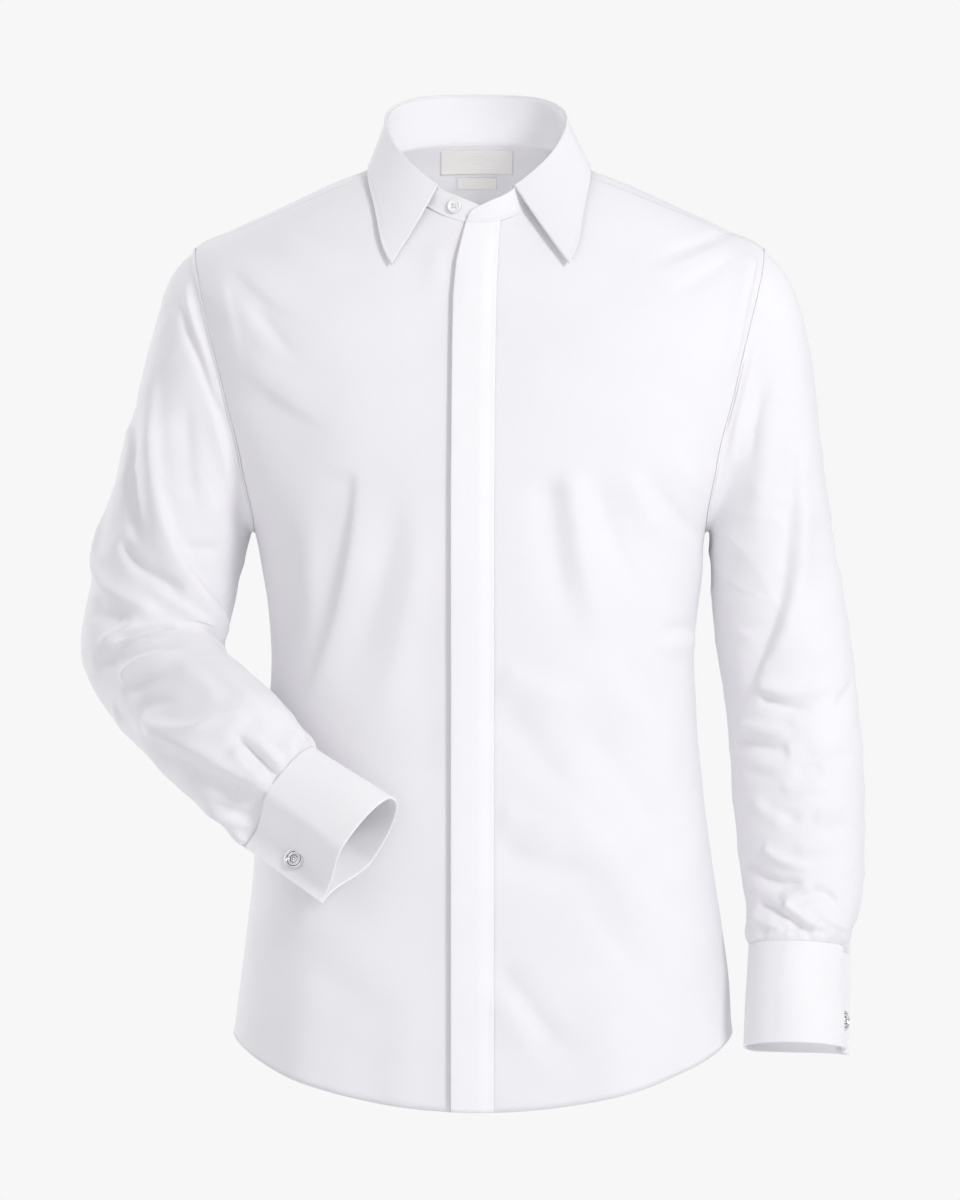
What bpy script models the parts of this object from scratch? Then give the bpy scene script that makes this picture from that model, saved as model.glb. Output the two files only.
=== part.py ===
"""A long sleeve dress shirt, filled out as if worn, with nobody in it.

Metres, +Z up. The shirt faces -Y, so the wearer's right arm is at -X. The origin is where the
wearer holds it up: between the two neck points, on the line of the shoulders. Each piece that is
cut and sewn is one thin wall: an open surface, lofted through rings, with a Solidify modifier.
"""

import math
from collections import namedtuple

import bmesh
import bpy
import numpy as np
from mathutils import Matrix, Vector

MM = 0.001

# ---------------------------------------------------------------- driving sizes, in millimetres
CLOTH = 1.0  # wall of one layer of shirting
COLLAR_WALL = 1.5  # collar pieces: two layers and an interlining
CUFF_WALL = 2.4  # double cuff: the cuff turned back on itself
SEAM_GAP = 0.5  # between two pieces along a seam
LAYER_GAP = 0.35  # between two pieces that lie on each other

# Rings of the body from neckline to hem: half widths to the wearer's right and left, depths to
# the front and back, and the heights at front, sides and back. A square of 2 is an ellipse. The
# dips say how the height goes from the sides to the front and to the back.
Ring = namedtuple("Ring", "right left front back z_front z_side z_back square dip back_dip")
BODY = [
    Ring(76, 74, 66, 58, -46, 2, 23, 2.00, 1.5, 0.6),  # 0 neckline
    Ring(112, 110, 77, 74, -70, -10, 4, 2.00, 1.5, 1.1),
    Ring(157, 157, 89, 92, -98, -31, -25, 2.05, 1.5, 1.5),
    Ring(196, 196, 99, 106, -130, -49, -56, 2.10, 1.5, 1.5),
    Ring(230, 230, 106, 116, -161, -67, -90, 2.15, 1.5, 1.5),  # 4 shoulder corner
    Ring(238, 236, 111, 122, -195, -108, -134, 2.20, 1.5, 1.5),
    Ring(227, 225, 113, 125, -230, -172, -186, 2.25, 1.5, 1.5),  # 6 widest part of the armhole
    Ring(205, 204, 114, 124, -262, -236, -240, 2.30, 1.5, 1.5),
    Ring(182, 182, 114, 120, -292, -290, -290, 2.35, 1.3, 1.3),  # 8 underarm
    Ring(174, 178, 112, 113, -332, -332, -332, 2.35, 1.2, 1.2),
    Ring(168, 172, 107, 104, -388, -388, -388, 2.35, 1.3, 1.3),  # 10 waist
    Ring(171, 175, 107, 103, -450, -450, -450, 2.35, 1.2, 1.2),
    Ring(179, 184, 110, 109, -536, -534, -536, 2.30, 1.2, 1.2),
    Ring(189, 197, 113, 116, -642, -626, -641, 2.25, 1.1, 1.1),
    Ring(198, 203, 116, 122, -753, -695, -751, 2.20, 1.1, 1.1),  # 14 hem
]
HEM = len(BODY) - 1
TOP_RING = 0.03  # the panels stop this far below the neckline, to clear the foot of the band

# The armhole is an ellipse in ring numbers and angle round the body.
ARMHOLE_RING = 6.0
ARMHOLE_HALF_RINGS = 2.05
ARMHOLE_HALF_ANGLE = math.radians(29)
ROUND_SLEEVE = 24  # points round a sleeve and its armhole
YOKE_FRONT_STEP = 1  # armhole points from the top to the yoke's front and back seams
YOKE_BACK_STEP = 2
YOKE_NECK_ANGLE = math.radians(68)  # where the front yoke seam meets the neckline
YOKE_ROWS = 6
PANEL_GAP = 0.7
BACK_COLUMNS = 20

# Fly front: the edge that shows and the stitched edge, from the top down.
Fly = namedtuple("Fly", "z edge stitch")
FLY = [
    Fly(-36, -8.4, 17.0),
    Fly(-56, -13.6, 15.6),
    Fly(-81, -19.3, 14.2),
    Fly(-106, -21.8, 13.3),
    Fly(-150, -22.7, 12.3),
    Fly(-260, -23.5, 11.3),
    Fly(-760, -23.5, 11.0),
]
FLY_LIFT = 2.9  # room under the fly for a button
FRONT_COLUMNS = 10
FLY_COLUMNS = 4
UNDER_DEPTH = 1.45  # the wearer's right front lies this far under the left one

# Sleeves from armhole to cuff. Each ring has its outer and inner point in X and Z, the Y of its
# middle, and its half depth across.
Tube = namedtuple("Tube", "outer_x outer_z inner_x inner_z y depth")
LEFT_SLEEVE = [  # hangs down, with the forearm a little forward
    Tube(250, -92, 184.0, -294, 2, 58),
    Tube(263, -137, 185.0, -299, 3, 60),
    Tube(271, -190, 185.0, -306, 5, 61),
    Tube(277, -240, 186.0, -318, 6, 60),
    Tube(285, -304, 187.0, -336, 8, 58),
    Tube(294, -350, 189.0, -362, 9, 56),
    Tube(301, -400, 194.0, -402, 8, 54),
    Tube(306, -452, 200.0, -452, 3, 53),
    Tube(309, -508, 204.0, -506, -5, 51),
    Tube(308, -560, 209.0, -556, -14, 48),
    Tube(304, -598, 214.0, -594, -22, 45),
]
RIGHT_SLEEVE = [  # bent, with the forearm across in front of the hip
    Tube(-250, -93, -184.0, -294, 2, 58),
    Tube(-264, -138, -186.0, -299, 4, 60),
    Tube(-276, -184, -188.0, -306, 6, 62),
    Tube(-289, -232, -191.0, -317, 8, 62),
    Tube(-303, -286, -195.0, -332, 9, 61),
    Tube(-314, -338, -198.0, -352, 8, 60),
    Tube(-321, -376, -203.0, -372, 4, 59),
    Tube(-316, -407, -205.0, -386, -5, 58),  # elbow
    Tube(-301, -433, -201.0, -396, -20, 57),
    Tube(-278, -459, -189.0, -403, -45, 56),
    Tube(-248, -488, -172.0, -415, -77, 53),
    Tube(-214, -516, -154.0, -433, -108, 45),
]

# Double cuffs, closed with their ends side by side as a tail. The tail and axis are directions.
Cuff = namedtuple("Cuff", "middle axis tail length round_end tail_end half_depth shift link tail_at")
LEFT_CUFF = Cuff((257.5, -30, -626), (-0.02, -0.17, -0.985), (0.47, 0.87, 0), 82, 46, 52, 41, 14, 0.68, 300)
RIGHT_CUFF = Cuff((-157, -121, -503), (0.75, -0.40, -0.52), (-0.57, 0, -0.82), 81, 47, 49, 34, 0, 0.52, 0)
CUFF_TAIL = 24.0  # how far the two ends lie on each other
CUFF_ROWS = 2
CUFF_FLARE = 1.08  # the open end is this much wider than the seam
LINK_FROM_END = 15.5

# Cuff link: a turned face, post and back.
LINK_FACE_RADIUS = 8.0
LINK_FACE_THICK = 3.2
LINK_POST_RADIUS = 1.5
LINK_HOLE_RADIUS = 2.0
LINK_BACK_RADIUS = 5.0
LINK_BACK_THICK = 2.0

# Collar. The fold is a ring round the neck, and its heights go from the back to the front ends.
FOLD_MIDDLE = (-3.0, -5.0)
FOLD_HALF_WIDTH = 72.0
FOLD_HALF_DEPTH = 59.0
FOLD_HEIGHTS = [61.4, 60.6, 58.2, 52.3, 43.5, 31, 13, -5, -22.5]  # one every 20 degrees from the back
FOLD_STEP = math.radians(20)
FOLD_END = math.radians(156)
BAND_END = math.radians(187.5)  # past the front centre, so the two ends cross
BAND_ROUNDING = 36.0  # the rounded stretch at each end of the band
BAND_FRONT_HEIGHT = 17.5
BAND_FOOT_RISE = 0.8
BAND_BELOW_FOLD = 2.2
BAND_CROSS = 1.15  # the left end of the band moves out by this, and the right end moves in
COLLAR_COLUMNS = 28
BAND_ROWS = 2
# The outer edge of the leaf, laid on the body: ring number and angle from the back.
Edge = namedtuple("Edge", "ring angle lift")
LEAF_EDGE = [
    Edge(0.62, 0, 3.6),
    Edge(0.58, 34, 3.6),
    Edge(0.47, 66, 3.6),
    Edge(0.37, 95, 3.8),
    Edge(0.68, 117.5, 4.0),
    Edge(1.16, 136, 4.2),
    Edge(1.94, 153.2, 4.4),
]
LEAF_ROLL = 1.9  # rise and width of the roll at the fold
LEAF_CROWN = -0.8  # how far the leaf bows out between fold and edge

# Buttons.
BUTTON_RADIUS = 5.5
BUTTON_THICK = 2.1
COLLAR_BUTTON_ANGLE = math.radians(164.5)
FLY_BUTTONS = 7
FLY_BUTTON_TOP = -102.0
FLY_BUTTON_SPACING = 80.0
FLY_BUTTON_X = -6.0

# Woven label and size tab on the inside of the yoke. Top and bottom count the yoke's rows.
Patch = namedtuple("Patch", "left right top bottom")
LABEL = Patch(27.0, -32.0, 0.42, 1.86)
TAB = Patch(13.5, -18.5, 2.0, 2.45)

WHITE = (0.86, 0.865, 0.88, 1)
LABEL_WHITE = (0.80, 0.79, 0.74, 1)
PEARL = (0.82, 0.82, 0.80, 1)
SILVER = (0.72, 0.73, 0.75, 1)


# ---------------------------------------------------------------- surfaces
def through(rows, at):
    """The rows of a table at these fractional row numbers, on a smooth curve through them."""
    rows = np.asarray(rows, float)
    at = np.asarray(at, float)
    padded = np.vstack([2 * rows[0] - rows[1], rows, 2 * rows[-1] - rows[-2]])
    low = np.clip(np.floor(at).astype(int), 0, len(rows) - 2)
    t = (at - low)[..., None]
    before, start, end, after = (padded[low + k] for k in range(4))
    return 0.5 * (
        2 * start
        + (end - before) * t
        + (2 * before - 5 * start + 4 * end - after) * t**2
        + (3 * start - before - 3 * end + after) * t**3
    )


def body(ring, angle):
    """Points of the body. The angle is 0 at the front centre and 90 degrees at the left side."""
    ring, angle = np.broadcast_arrays(np.asarray(ring, float), np.asarray(angle, float))
    r = Ring(*np.moveaxis(through(BODY, ring), -1, 0))
    sine, cosine = np.sin(angle), np.cos(angle)
    k = (np.abs(sine) ** r.square + np.abs(cosine) ** r.square) ** (-1 / r.square)
    x = np.where(sine > 0, r.left, r.right) * sine * k
    y = -np.where(cosine > 0, r.front, r.back) * cosine * k
    rise = np.where(cosine > 0, r.z_front, r.z_back) - r.z_side
    round_off = 0.3
    share = (np.sqrt(cosine**2 + round_off**2) - round_off) / (math.hypot(1, round_off) - round_off)
    dip = np.where(cosine > 0, r.dip, r.back_dip)
    return np.stack([x, y, r.z_side + rise * share**dip], axis=-1)


def body_normal(ring, angle):
    """Unit normals of the body, pointing out."""
    step = 0.01
    down = body(np.clip(ring + step, 0, HEM), angle) - body(np.clip(ring - step, 0, HEM), angle)
    across = body(ring, angle + step) - body(ring, angle - step)
    normal = np.cross(down, across)
    return normal / np.linalg.norm(normal, axis=-1, keepdims=True)


def on_body(ring, angle, lift=0.0):
    """Points of the body moved out by lift."""
    ring, angle, lift = np.broadcast_arrays(*(np.asarray(v, float) for v in (ring, angle, lift)))
    return body(ring, angle) + lift[..., None] * body_normal(ring, angle)


def angle_at(ring, x):
    """The angle near the front centre at which the body has this X."""
    r = Ring(*np.moveaxis(through(BODY, ring), -1, 0))
    share = x / np.where(x > 0, r.left, r.right)
    return np.arctan(share / (1 - np.abs(share) ** r.square) ** (1 / r.square))


def armhole(turn, side, gap=0.0):
    """Ring number and angle round the armhole. A turn of 0 is its top, and then comes its front."""
    ring = ARMHOLE_RING - (ARMHOLE_HALF_RINGS + gap / 40) * np.cos(turn)
    spread = (ARMHOLE_HALF_ANGLE + gap / 115) * np.sin(turn)
    return ring, side * (math.pi / 2 - spread)


def smooth(t):
    """0 to 1 with flat ends."""
    t = np.clip(t, 0, 1)
    return t * t * (3 - 2 * t)


# ---------------------------------------------------------------- Blender objects
def clear_scene():
    for thing in list(bpy.data.objects):
        bpy.data.objects.remove(thing, do_unlink=True)


def unit(v):
    """The same directions with a length of one."""
    v = np.asarray(v, float)
    return v / np.linalg.norm(v, axis=-1, keepdims=True)


def new_collection(name):
    made = bpy.data.collections.new(name)
    bpy.context.scene.collection.children.link(made)
    return made


def material(name, colour, roughness, metallic=0.0):
    made = bpy.data.materials.new(name)
    made.use_nodes = True
    shader = made.node_tree.nodes["Principled BSDF"]
    shader.inputs["Base Color"].default_value = colour
    shader.inputs["Roughness"].default_value = roughness
    shader.inputs["Metallic"].default_value = metallic
    return made


def add_object(name, mesh, finish):
    piece = bpy.data.objects.new(name, mesh)
    if finish is not None:
        mesh.materials.append(finish)
    SHIRT.objects.link(piece)
    return piece


def cloth(name, points, wall, finish, closed=False, flip=False):
    """A wall of cloth: rows of points, in millimetres, as an open surface with Solidify.
    The points lie on its outer face."""
    rows, columns = points.shape[:2]
    mesh = bpy.data.meshes.new(name)
    shell = bmesh.new()
    corners = [[shell.verts.new(Vector(p) * MM) for p in row] for row in points]
    last = columns if closed else columns - 1
    for above, below in zip(corners, corners[1:]):
        for j in range(last):
            k = (j + 1) % columns
            face = [above[j], below[j], below[k], above[k]]
            shell.faces.new(face[::-1] if flip else face)
    shell.to_mesh(mesh)
    shell.free()
    mesh.shade_smooth()
    piece = add_object(name, mesh, finish)
    solidify = piece.modifiers.new("wall", "SOLIDIFY")
    solidify.thickness = wall * MM
    solidify.offset = -1
    solidify.use_even_offset = True
    solidify.use_quality_normals = True
    return piece


def turned(name, profile, finish, steps=20):
    """A piece turned about its own Z from a profile of radius and height, top to bottom."""
    mesh = bpy.data.meshes.new(name)
    mesh.from_pydata(
        [(radius * MM, 0, height * MM) for radius, height in profile],
        [(i, i + 1) for i in range(len(profile) - 1)],
        [],
    )
    piece = add_object(name, mesh, finish)
    screw = piece.modifiers.new("turn", "SCREW")
    screw.steps = screw.render_steps = steps
    screw.use_merge_vertices = True
    screw.merge_threshold = 0.00001
    screw.use_smooth_shade = False
    return piece


def place(piece, middle, outward):
    """Puts a turned piece at a point in millimetres, with its Z pointing outward."""
    piece.matrix_world = Matrix.Translation(Vector(middle) * MM) @ (
        Vector(outward).to_track_quat("Z", "X").to_matrix().to_4x4()
    )
    return piece


def pierce(piece, middle, direction, radius, length):
    """Cuts a round hole through a piece."""
    mesh = bpy.data.meshes.new(piece.name + "_hole")
    pin = bmesh.new()
    bmesh.ops.create_cone(
        pin,
        cap_ends=True,
        segments=12,
        radius1=radius * MM,
        radius2=radius * MM,
        depth=length * MM,
    )
    pin.to_mesh(mesh)
    pin.free()
    cutter = bpy.data.objects.new(mesh.name, mesh)
    CUTTERS.objects.link(cutter)
    cutter.hide_render = True
    cutter.display_type = "WIRE"
    place(cutter, middle, direction)
    cut = piece.modifiers.new("hole", "BOOLEAN")
    cut.operation = "DIFFERENCE"
    cut.object = cutter


# ---------------------------------------------------------------- body pieces
def turns(first, last):
    """Armhole points from one step to another, as angles."""
    return 2 * math.pi / ROUND_SLEEVE * np.arange(first, last + 1)


def body_rows(first_step):
    """Ring numbers along the armhole from a step below its top, then down to the hem."""
    beside = armhole(turns(first_step, ROUND_SLEEVE // 2), 1)[0]
    below = beside[-1] + (HEM - beside[-1]) * np.linspace(0, 1, 9)[1:]
    return beside, below


def front_seam(share, side):
    """The front yoke seam from neckline (0) to armhole (1)."""
    ring, angle = armhole(turns(YOKE_FRONT_STEP, YOKE_FRONT_STEP)[0], side, SEAM_GAP)
    return TOP_RING + share * (ring - TOP_RING), side * YOKE_NECK_ANGLE + share * (angle - side * YOKE_NECK_ANGLE)


def seam_gap_angle(ring):
    """The gap on each side of a seam of the body panels, as an angle at this ring."""
    return PANEL_GAP / through(BODY, ring)[..., 0]


def front_panel(name, side, edge_column, lift, finish):
    """One front, from an edge of the fly to the yoke seam, armhole and side seam."""
    beside, below = body_rows(YOKE_FRONT_STEP)
    steps = turns(YOKE_FRONT_STEP, ROUND_SLEEVE // 2)
    shares = np.linspace(0, 1, 7)[:-1]
    top_ring, top_angle = front_seam(shares, side)
    hole_ring, hole_angle = armhole(steps, side, SEAM_GAP)
    rings = np.concatenate([top_ring, hole_ring, below])
    outer = np.concatenate([top_angle, hole_angle, np.full(len(below), side * math.pi / 2)])
    outer -= side * seam_gap_angle(rings)
    heights = body(rings, 0.0)[:, 2]
    fly = np.array([[f.z, f.edge, f.stitch] for f in FLY])[::-1]
    inner = angle_at(rings, np.interp(heights, fly[:, 0], fly[:, edge_column]))
    share = np.linspace(0, 1, FRONT_COLUMNS + 1) ** 1.15
    angles = inner[:, None] + (outer - inner)[:, None] * share
    grid_rings = np.repeat(rings[:, None], FRONT_COLUMNS + 1, axis=1)
    points = on_body(grid_rings, angles, lift(body(grid_rings, angles)[..., 0]))
    return cloth(name, points, CLOTH, finish, flip=side < 0)


def under_lift(x):
    """The right front dips under the fly and comes up to the body's surface beside it."""
    return -UNDER_DEPTH * smooth((x + 75) / 45)


def fly_placket(finish):
    """The strip that hides the buttons, on the wearer's left front."""
    rings = np.concatenate([[TOP_RING], np.linspace(0.5, HEM, 20)])
    heights = body(rings, 0.0)[:, 2]
    fly = np.array([[f.z, f.edge, f.stitch] for f in FLY])[::-1]
    edge = np.interp(heights, fly[:, 0], fly[:, 1])
    stitch = np.interp(heights, fly[:, 0], fly[:, 2])
    share = np.linspace(0, 1, FLY_COLUMNS + 1)
    x = edge[:, None] + (stitch - edge)[:, None] * share
    puff = FLY_LIFT * smooth(0.1 + rings / 1.6)[:, None]
    rise = LAYER_GAP + CLOTH + puff * (1 - smooth((share - 0.62) / 0.38))
    angles = angle_at(np.repeat(rings[:, None], FLY_COLUMNS + 1, axis=1), x)
    points = on_body(rings[:, None], angles, rise)
    return cloth("fly_placket", points, CLOTH, finish)


def back_angles(share):
    """Angles across the back, from the left armhole (0) to the right armhole (1), at the yoke."""
    ring, angle = armhole(-turns(YOKE_BACK_STEP, YOKE_BACK_STEP)[0], 1, SEAM_GAP)
    return ring, angle + share * (2 * math.pi - 2 * angle)


def back_panel(finish):
    beside, below = body_rows(YOKE_BACK_STEP)
    hole_ring, hole_angle = armhole(-turns(YOKE_BACK_STEP, ROUND_SLEEVE // 2), 1, SEAM_GAP)
    rings = np.concatenate([hole_ring, below])
    rings[0] += SEAM_GAP / 34
    left = np.concatenate([hole_angle, np.full(len(below), math.pi / 2)])
    left += seam_gap_angle(rings)
    share = np.linspace(0, 1, BACK_COLUMNS + 1)
    angles = left[:, None] + (2 * math.pi - 2 * left)[:, None] * share
    points = on_body(rings[:, None], angles)
    return cloth("back", points, CLOTH, finish)


def yoke_points():
    """The yoke, over both shoulders: a patch between its two front seams with the neckline, the
    back seam, and the tops of the two armholes."""
    seam = np.linspace(1, 0, 7)
    ring_l, angle_l = front_seam(seam, 1)
    gap = seam_gap_angle(ring_l)
    neck = np.linspace(YOKE_NECK_ANGLE, 2 * math.pi - YOKE_NECK_ANGLE, BACK_COLUMNS - 11)[1:-1]
    near = np.concatenate(
        [
            np.stack([ring_l, angle_l + gap], 1),
            np.stack([np.full_like(neck, TOP_RING), neck], 1),
            np.stack([ring_l, 2 * math.pi - angle_l - gap], 1)[::-1],
        ]
    )
    share = np.linspace(0, 1, len(near))
    back_ring, back_angle = back_angles(share)
    far = np.stack([np.full_like(share, back_ring), back_angle], 1)
    v = np.linspace(0, 1, YOKE_ROWS + 1)
    step = 2 * math.pi / ROUND_SLEEVE
    turn = step * (YOKE_FRONT_STEP - v * (YOKE_FRONT_STEP + YOKE_BACK_STEP))
    left = np.stack(armhole(turn, 1, SEAM_GAP), 1)
    right = left * (1, -1) + (0, 2 * math.pi)
    u, v = share[None, :, None], v[:, None, None]
    corners = (1 - u) * ((1 - v) * near[0] + v * far[0]) + u * ((1 - v) * near[-1] + v * far[-1])
    patch = (1 - v) * near[None] + v * far[None] + (1 - u) * left[:, None] + u * right[:, None]
    ring, angle = np.moveaxis(patch - corners, -1, 0)
    return on_body(np.clip(ring, 0, HEM), angle)


def inside_patch(name, patch, yoke, finish):
    """A label on the inside of the yoke, made from the yoke's points moved in."""
    middle = BACK_COLUMNS // 2
    whole = np.arange(math.floor(patch.top) + 1, math.ceil(patch.bottom))
    rows = []
    for at in (patch.top, *whole, patch.bottom):
        above = min(int(at), YOKE_ROWS - 1)
        row = yoke[above] + (at - above) * (yoke[above + 1] - yoke[above])
        left, right = (
            row[middle] + x / row[beside, 0] * (row[beside] - row[middle])
            for x, beside in ((patch.left, middle - 1), (patch.right, middle + 1))
        )
        rows.append([left, row[middle], right])
    rows = np.array(rows)
    across = rows[:, 0] - rows[:, 2]
    inward = unit(np.cross(rows[-1] - rows[0], across[0]))
    return cloth(name, rows + (CLOTH + 2 * LAYER_GAP) * inward, CLOTH, finish)


# ---------------------------------------------------------------- sleeves and cuffs
def cuff_frame(cuff):
    """Axis, tail direction and outward normal of a cuff, square to each other."""
    axis = unit(cuff.axis)
    tail = unit(np.array(cuff.tail) - np.dot(cuff.tail, axis) * axis)
    normal = np.cross(axis, tail)
    return axis, tail, normal * (1 if normal[1] < 0 else -1)


def cuff_outline(cuff, turn, along, half_gap, grow=1.0):
    """Points round a cuff. A turn of 0 is the tail's end, then comes the side that faces out."""
    axis, tail, normal = cuff_frame(cuff)
    cosine, sine = np.cos(turn), np.sin(turn)
    reach = cuff.tail_end * cosine
    root = cuff.tail_end - CUFF_TAIL
    belly = np.cos(0.5 * math.pi * np.clip(reach / root, 0, 1)) ** 2
    p = np.where(cosine > 0, reach, cuff.round_end * cosine * grow)
    wide = np.where(cosine > 0, belly, np.abs(sine))
    q = np.sign(sine) * (half_gap + (cuff.half_depth * grow - half_gap) * wide)
    q = q + cuff.shift * smooth(reach / root)
    middle = np.array(cuff.middle) + along[..., None] * axis
    return middle + p[..., None] * tail + q[..., None] * normal


def cuff_piece(name, cuff, finish):
    turn = np.linspace(0.0005, 2 * math.pi - 0.0005, 33)
    turn = turn + 0.10 * np.sin(2 * turn) * (np.cos(turn) > 0)
    share = np.linspace(0, 1, CUFF_ROWS + 1)[:, None]
    half_gap = CUFF_WALL + LAYER_GAP / 2
    grow = 1 + (CUFF_FLARE - 1) * share
    along = share * cuff.length + SEAM_GAP + 0 * turn
    points = cuff_outline(cuff, turn + 0 * share, along, half_gap, grow)
    piece = cloth(name, points, CUFF_WALL, finish, flip=handed(cuff) > 0)
    middle, normal = link_place(cuff)
    pierce(piece, middle, normal, LINK_HOLE_RADIUS, 30)
    return piece


def handed(cuff):
    axis, tail, normal = cuff_frame(cuff)
    return float(np.dot(np.cross(axis, tail), normal))


def link_place(cuff):
    """The middle of the tail where the link goes through, and the way its face looks."""
    axis, tail, normal = cuff_frame(cuff)
    middle = (
        np.array(cuff.middle)
        + cuff.link * cuff.length * axis
        + (cuff.tail_end - LINK_FROM_END) * tail
        + cuff.shift * normal
    )
    return middle, normal


def cuff_link(name, cuff, finish):
    middle, normal = link_place(cuff)
    clear = CUFF_WALL + 0.5 * LAYER_GAP + 0.8
    top = clear + LINK_FACE_THICK
    bottom = -clear - LINK_BACK_THICK
    profile = [
        (0, top - 0.8),
        (LINK_FACE_RADIUS * 0.62, top - 0.8),
        (LINK_FACE_RADIUS * 0.70, top),
        (LINK_FACE_RADIUS * 0.90, top),
        (LINK_FACE_RADIUS, top - 0.8),
        (LINK_FACE_RADIUS, clear + 0.6),
        (LINK_FACE_RADIUS * 0.85, clear),
        (LINK_POST_RADIUS, clear),
        (LINK_POST_RADIUS, -clear),
        (LINK_BACK_RADIUS, -clear),
        (LINK_BACK_RADIUS, bottom + 0.5),
        (LINK_BACK_RADIUS * 0.85, bottom),
        (0, bottom),
    ]
    return place(turned(name, profile, finish), middle, normal)


def sleeve(name, side, table, cuff, finish):
    """A tube from the armhole through the table's rings to the top of the cuff."""
    turn = np.linspace(0, 2 * math.pi, ROUND_SLEEVE, endpoint=False)
    start = on_body(*armhole(turn, side))
    away = np.array([0.976 * side, 0, -0.22])
    start = start + 1.6 * SEAM_GAP * away
    t = Tube(*np.array(table, float).T)
    middle = np.stack([(t.outer_x + t.inner_x) / 2, t.y, (t.outer_z + t.inner_z) / 2], 1)
    across = np.stack([t.outer_x - t.inner_x, 0 * t.y, t.outer_z - t.inner_z], 1) / 2
    line = np.vstack([start.mean(0), middle, cuff.middle])
    along = unit(line[2:] - line[:-2])
    forward = np.cross(along, across)
    forward = unit(forward * -np.sign(forward[:, 1:2]))
    rings = (
        middle[:, None]
        + np.cos(turn)[:, None] * across[:, None]
        + (np.sin(turn)[:, None] * (forward * t.depth[:, None])[:, None])
    )
    end_turn = side_turn(side, turn, cuff)
    end = cuff_outline(cuff, end_turn, 0 * turn - SEAM_GAP, CLOTH + 1.2)
    rings = np.concatenate([start[None], rings, end[None]])
    return cloth(name, rings, CLOTH, finish, closed=True, flip=side > 0)


def side_turn(side, turn, cuff):
    """The turn round a cuff that follows a turn round its sleeve."""
    return turn - math.radians(cuff.tail_at)


# ---------------------------------------------------------------- collar
def fold_point(angle):
    """The collar's fold at an angle from the back, positive to the wearer's left."""
    height = through(np.array(FOLD_HEIGHTS, float)[:, None], np.abs(angle) / FOLD_STEP)[..., 0]
    x = FOLD_MIDDLE[0] + FOLD_HALF_WIDTH * np.sin(angle)
    y = FOLD_MIDDLE[1] + FOLD_HALF_DEPTH * np.cos(angle)
    return np.stack([x, y, height], axis=-1)


def band_point(angle, share):
    """The collar's stand, from its foot on the neckline (0) to its top under the fold (1)."""
    foot = on_body(0.0, math.pi - angle) + (0, 0, BAND_FOOT_RISE)
    top = fold_point(angle) - (0, 0, BAND_BELOW_FOLD)
    from_end = BODY[0].front * (BAND_END - np.abs(angle)) / BAND_ROUNDING
    height = BAND_FRONT_HEIGHT * np.sqrt(1 - (1 - np.clip(from_end, 0, 1)) ** 2)
    rounded = foot + height[..., None] * (0, 0, 1)
    past = smooth((np.abs(angle) - FOLD_END) / 0.28 + 0.3)[..., None]
    top = (1 - past) * top + past * rounded
    points = foot + share[..., None] * (top - foot)
    cross = BAND_CROSS * np.sign(angle) * smooth((np.abs(angle) - 2.6) / 0.35)
    return points - cross[..., None] * (0, 1, 0)


def collar_band(finish):
    near_end = BAND_END - np.radians([0.3, 1.5, 4.0, 8.0, 13.0])
    half = np.concatenate([near_end, np.linspace(BAND_END - math.radians(20), 0, 14)])
    angle = np.concatenate([-half, half[-2::-1]])
    share = np.linspace(0, 1, BAND_ROWS + 1)[:, None] + 0 * angle
    return cloth("collar_band", band_point(angle + 0 * share, share), COLLAR_WALL, finish)


def collar_button(finish):
    """The top button, on the wearer's right end of the band."""
    angle, share = np.array(-COLLAR_BUTTON_ANGLE), np.array(0.45)
    middle = band_point(angle, share)
    out = np.array([math.sin(angle), math.cos(angle), 0.12])
    return button("collar_button", middle + 2 * LAYER_GAP * unit(out), out, finish)


def collar_leaf(finish):
    """The leaf, from the fold out and down to its edge and points."""
    angle = np.linspace(-FOLD_END, FOLD_END, COLLAR_COLUMNS + 1)
    fold = fold_point(angle)
    edge_at = np.abs(angle) / FOLD_END * (len(LEAF_EDGE) - 1)
    edge = Edge(*np.moveaxis(through(LEAF_EDGE, edge_at), -1, 0))
    rim = on_body(edge.ring, math.pi - np.sign(angle) * np.radians(edge.angle), edge.lift + COLLAR_WALL)
    outward = rim - fold
    outward[:, 2] = 0
    outward = unit(outward)
    up = np.array([0, 0, 1.0])
    rows = [fold - 0.2 * up, fold + 0.5 * LEAF_ROLL * up + 0.45 * LEAF_ROLL * outward]
    shoulder = fold + 0.15 * LEAF_ROLL * up + 1.15 * LEAF_ROLL * outward
    for share in np.linspace(0, 1, 5):
        bow = LEAF_CROWN * math.sin(math.pi * share)
        rows.append(shoulder + share * (rim - shoulder) + bow * outward)
    return cloth("collar_leaf", np.array(rows), COLLAR_WALL, finish, flip=True)


# ---------------------------------------------------------------- buttons
def button(name, middle, outward, finish):
    profile = [
        (0, BUTTON_THICK - 0.6),
        (BUTTON_RADIUS * 0.66, BUTTON_THICK - 0.6),
        (BUTTON_RADIUS * 0.78, BUTTON_THICK),
        (BUTTON_RADIUS * 0.92, BUTTON_THICK),
        (BUTTON_RADIUS, BUTTON_THICK - 0.5),
        (BUTTON_RADIUS, 0.5),
        (BUTTON_RADIUS * 0.9, 0),
        (0, 0),
    ]
    return place(turned(name, profile, finish, steps=16), middle, outward)


def fly_button(number, finish):
    """A button in the room between the left front and the fly over it."""
    z = FLY_BUTTON_TOP - number * FLY_BUTTON_SPACING
    rings = np.linspace(0, HEM, 600)
    ring = np.interp(-z, -body(rings, 0.0)[:, 2], rings)
    angle = angle_at(ring, FLY_BUTTON_X)
    middle = on_body(ring, angle, LAYER_GAP)
    return button("fly_button_%d" % (number + 1), middle, body_normal(ring, angle), finish)


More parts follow.
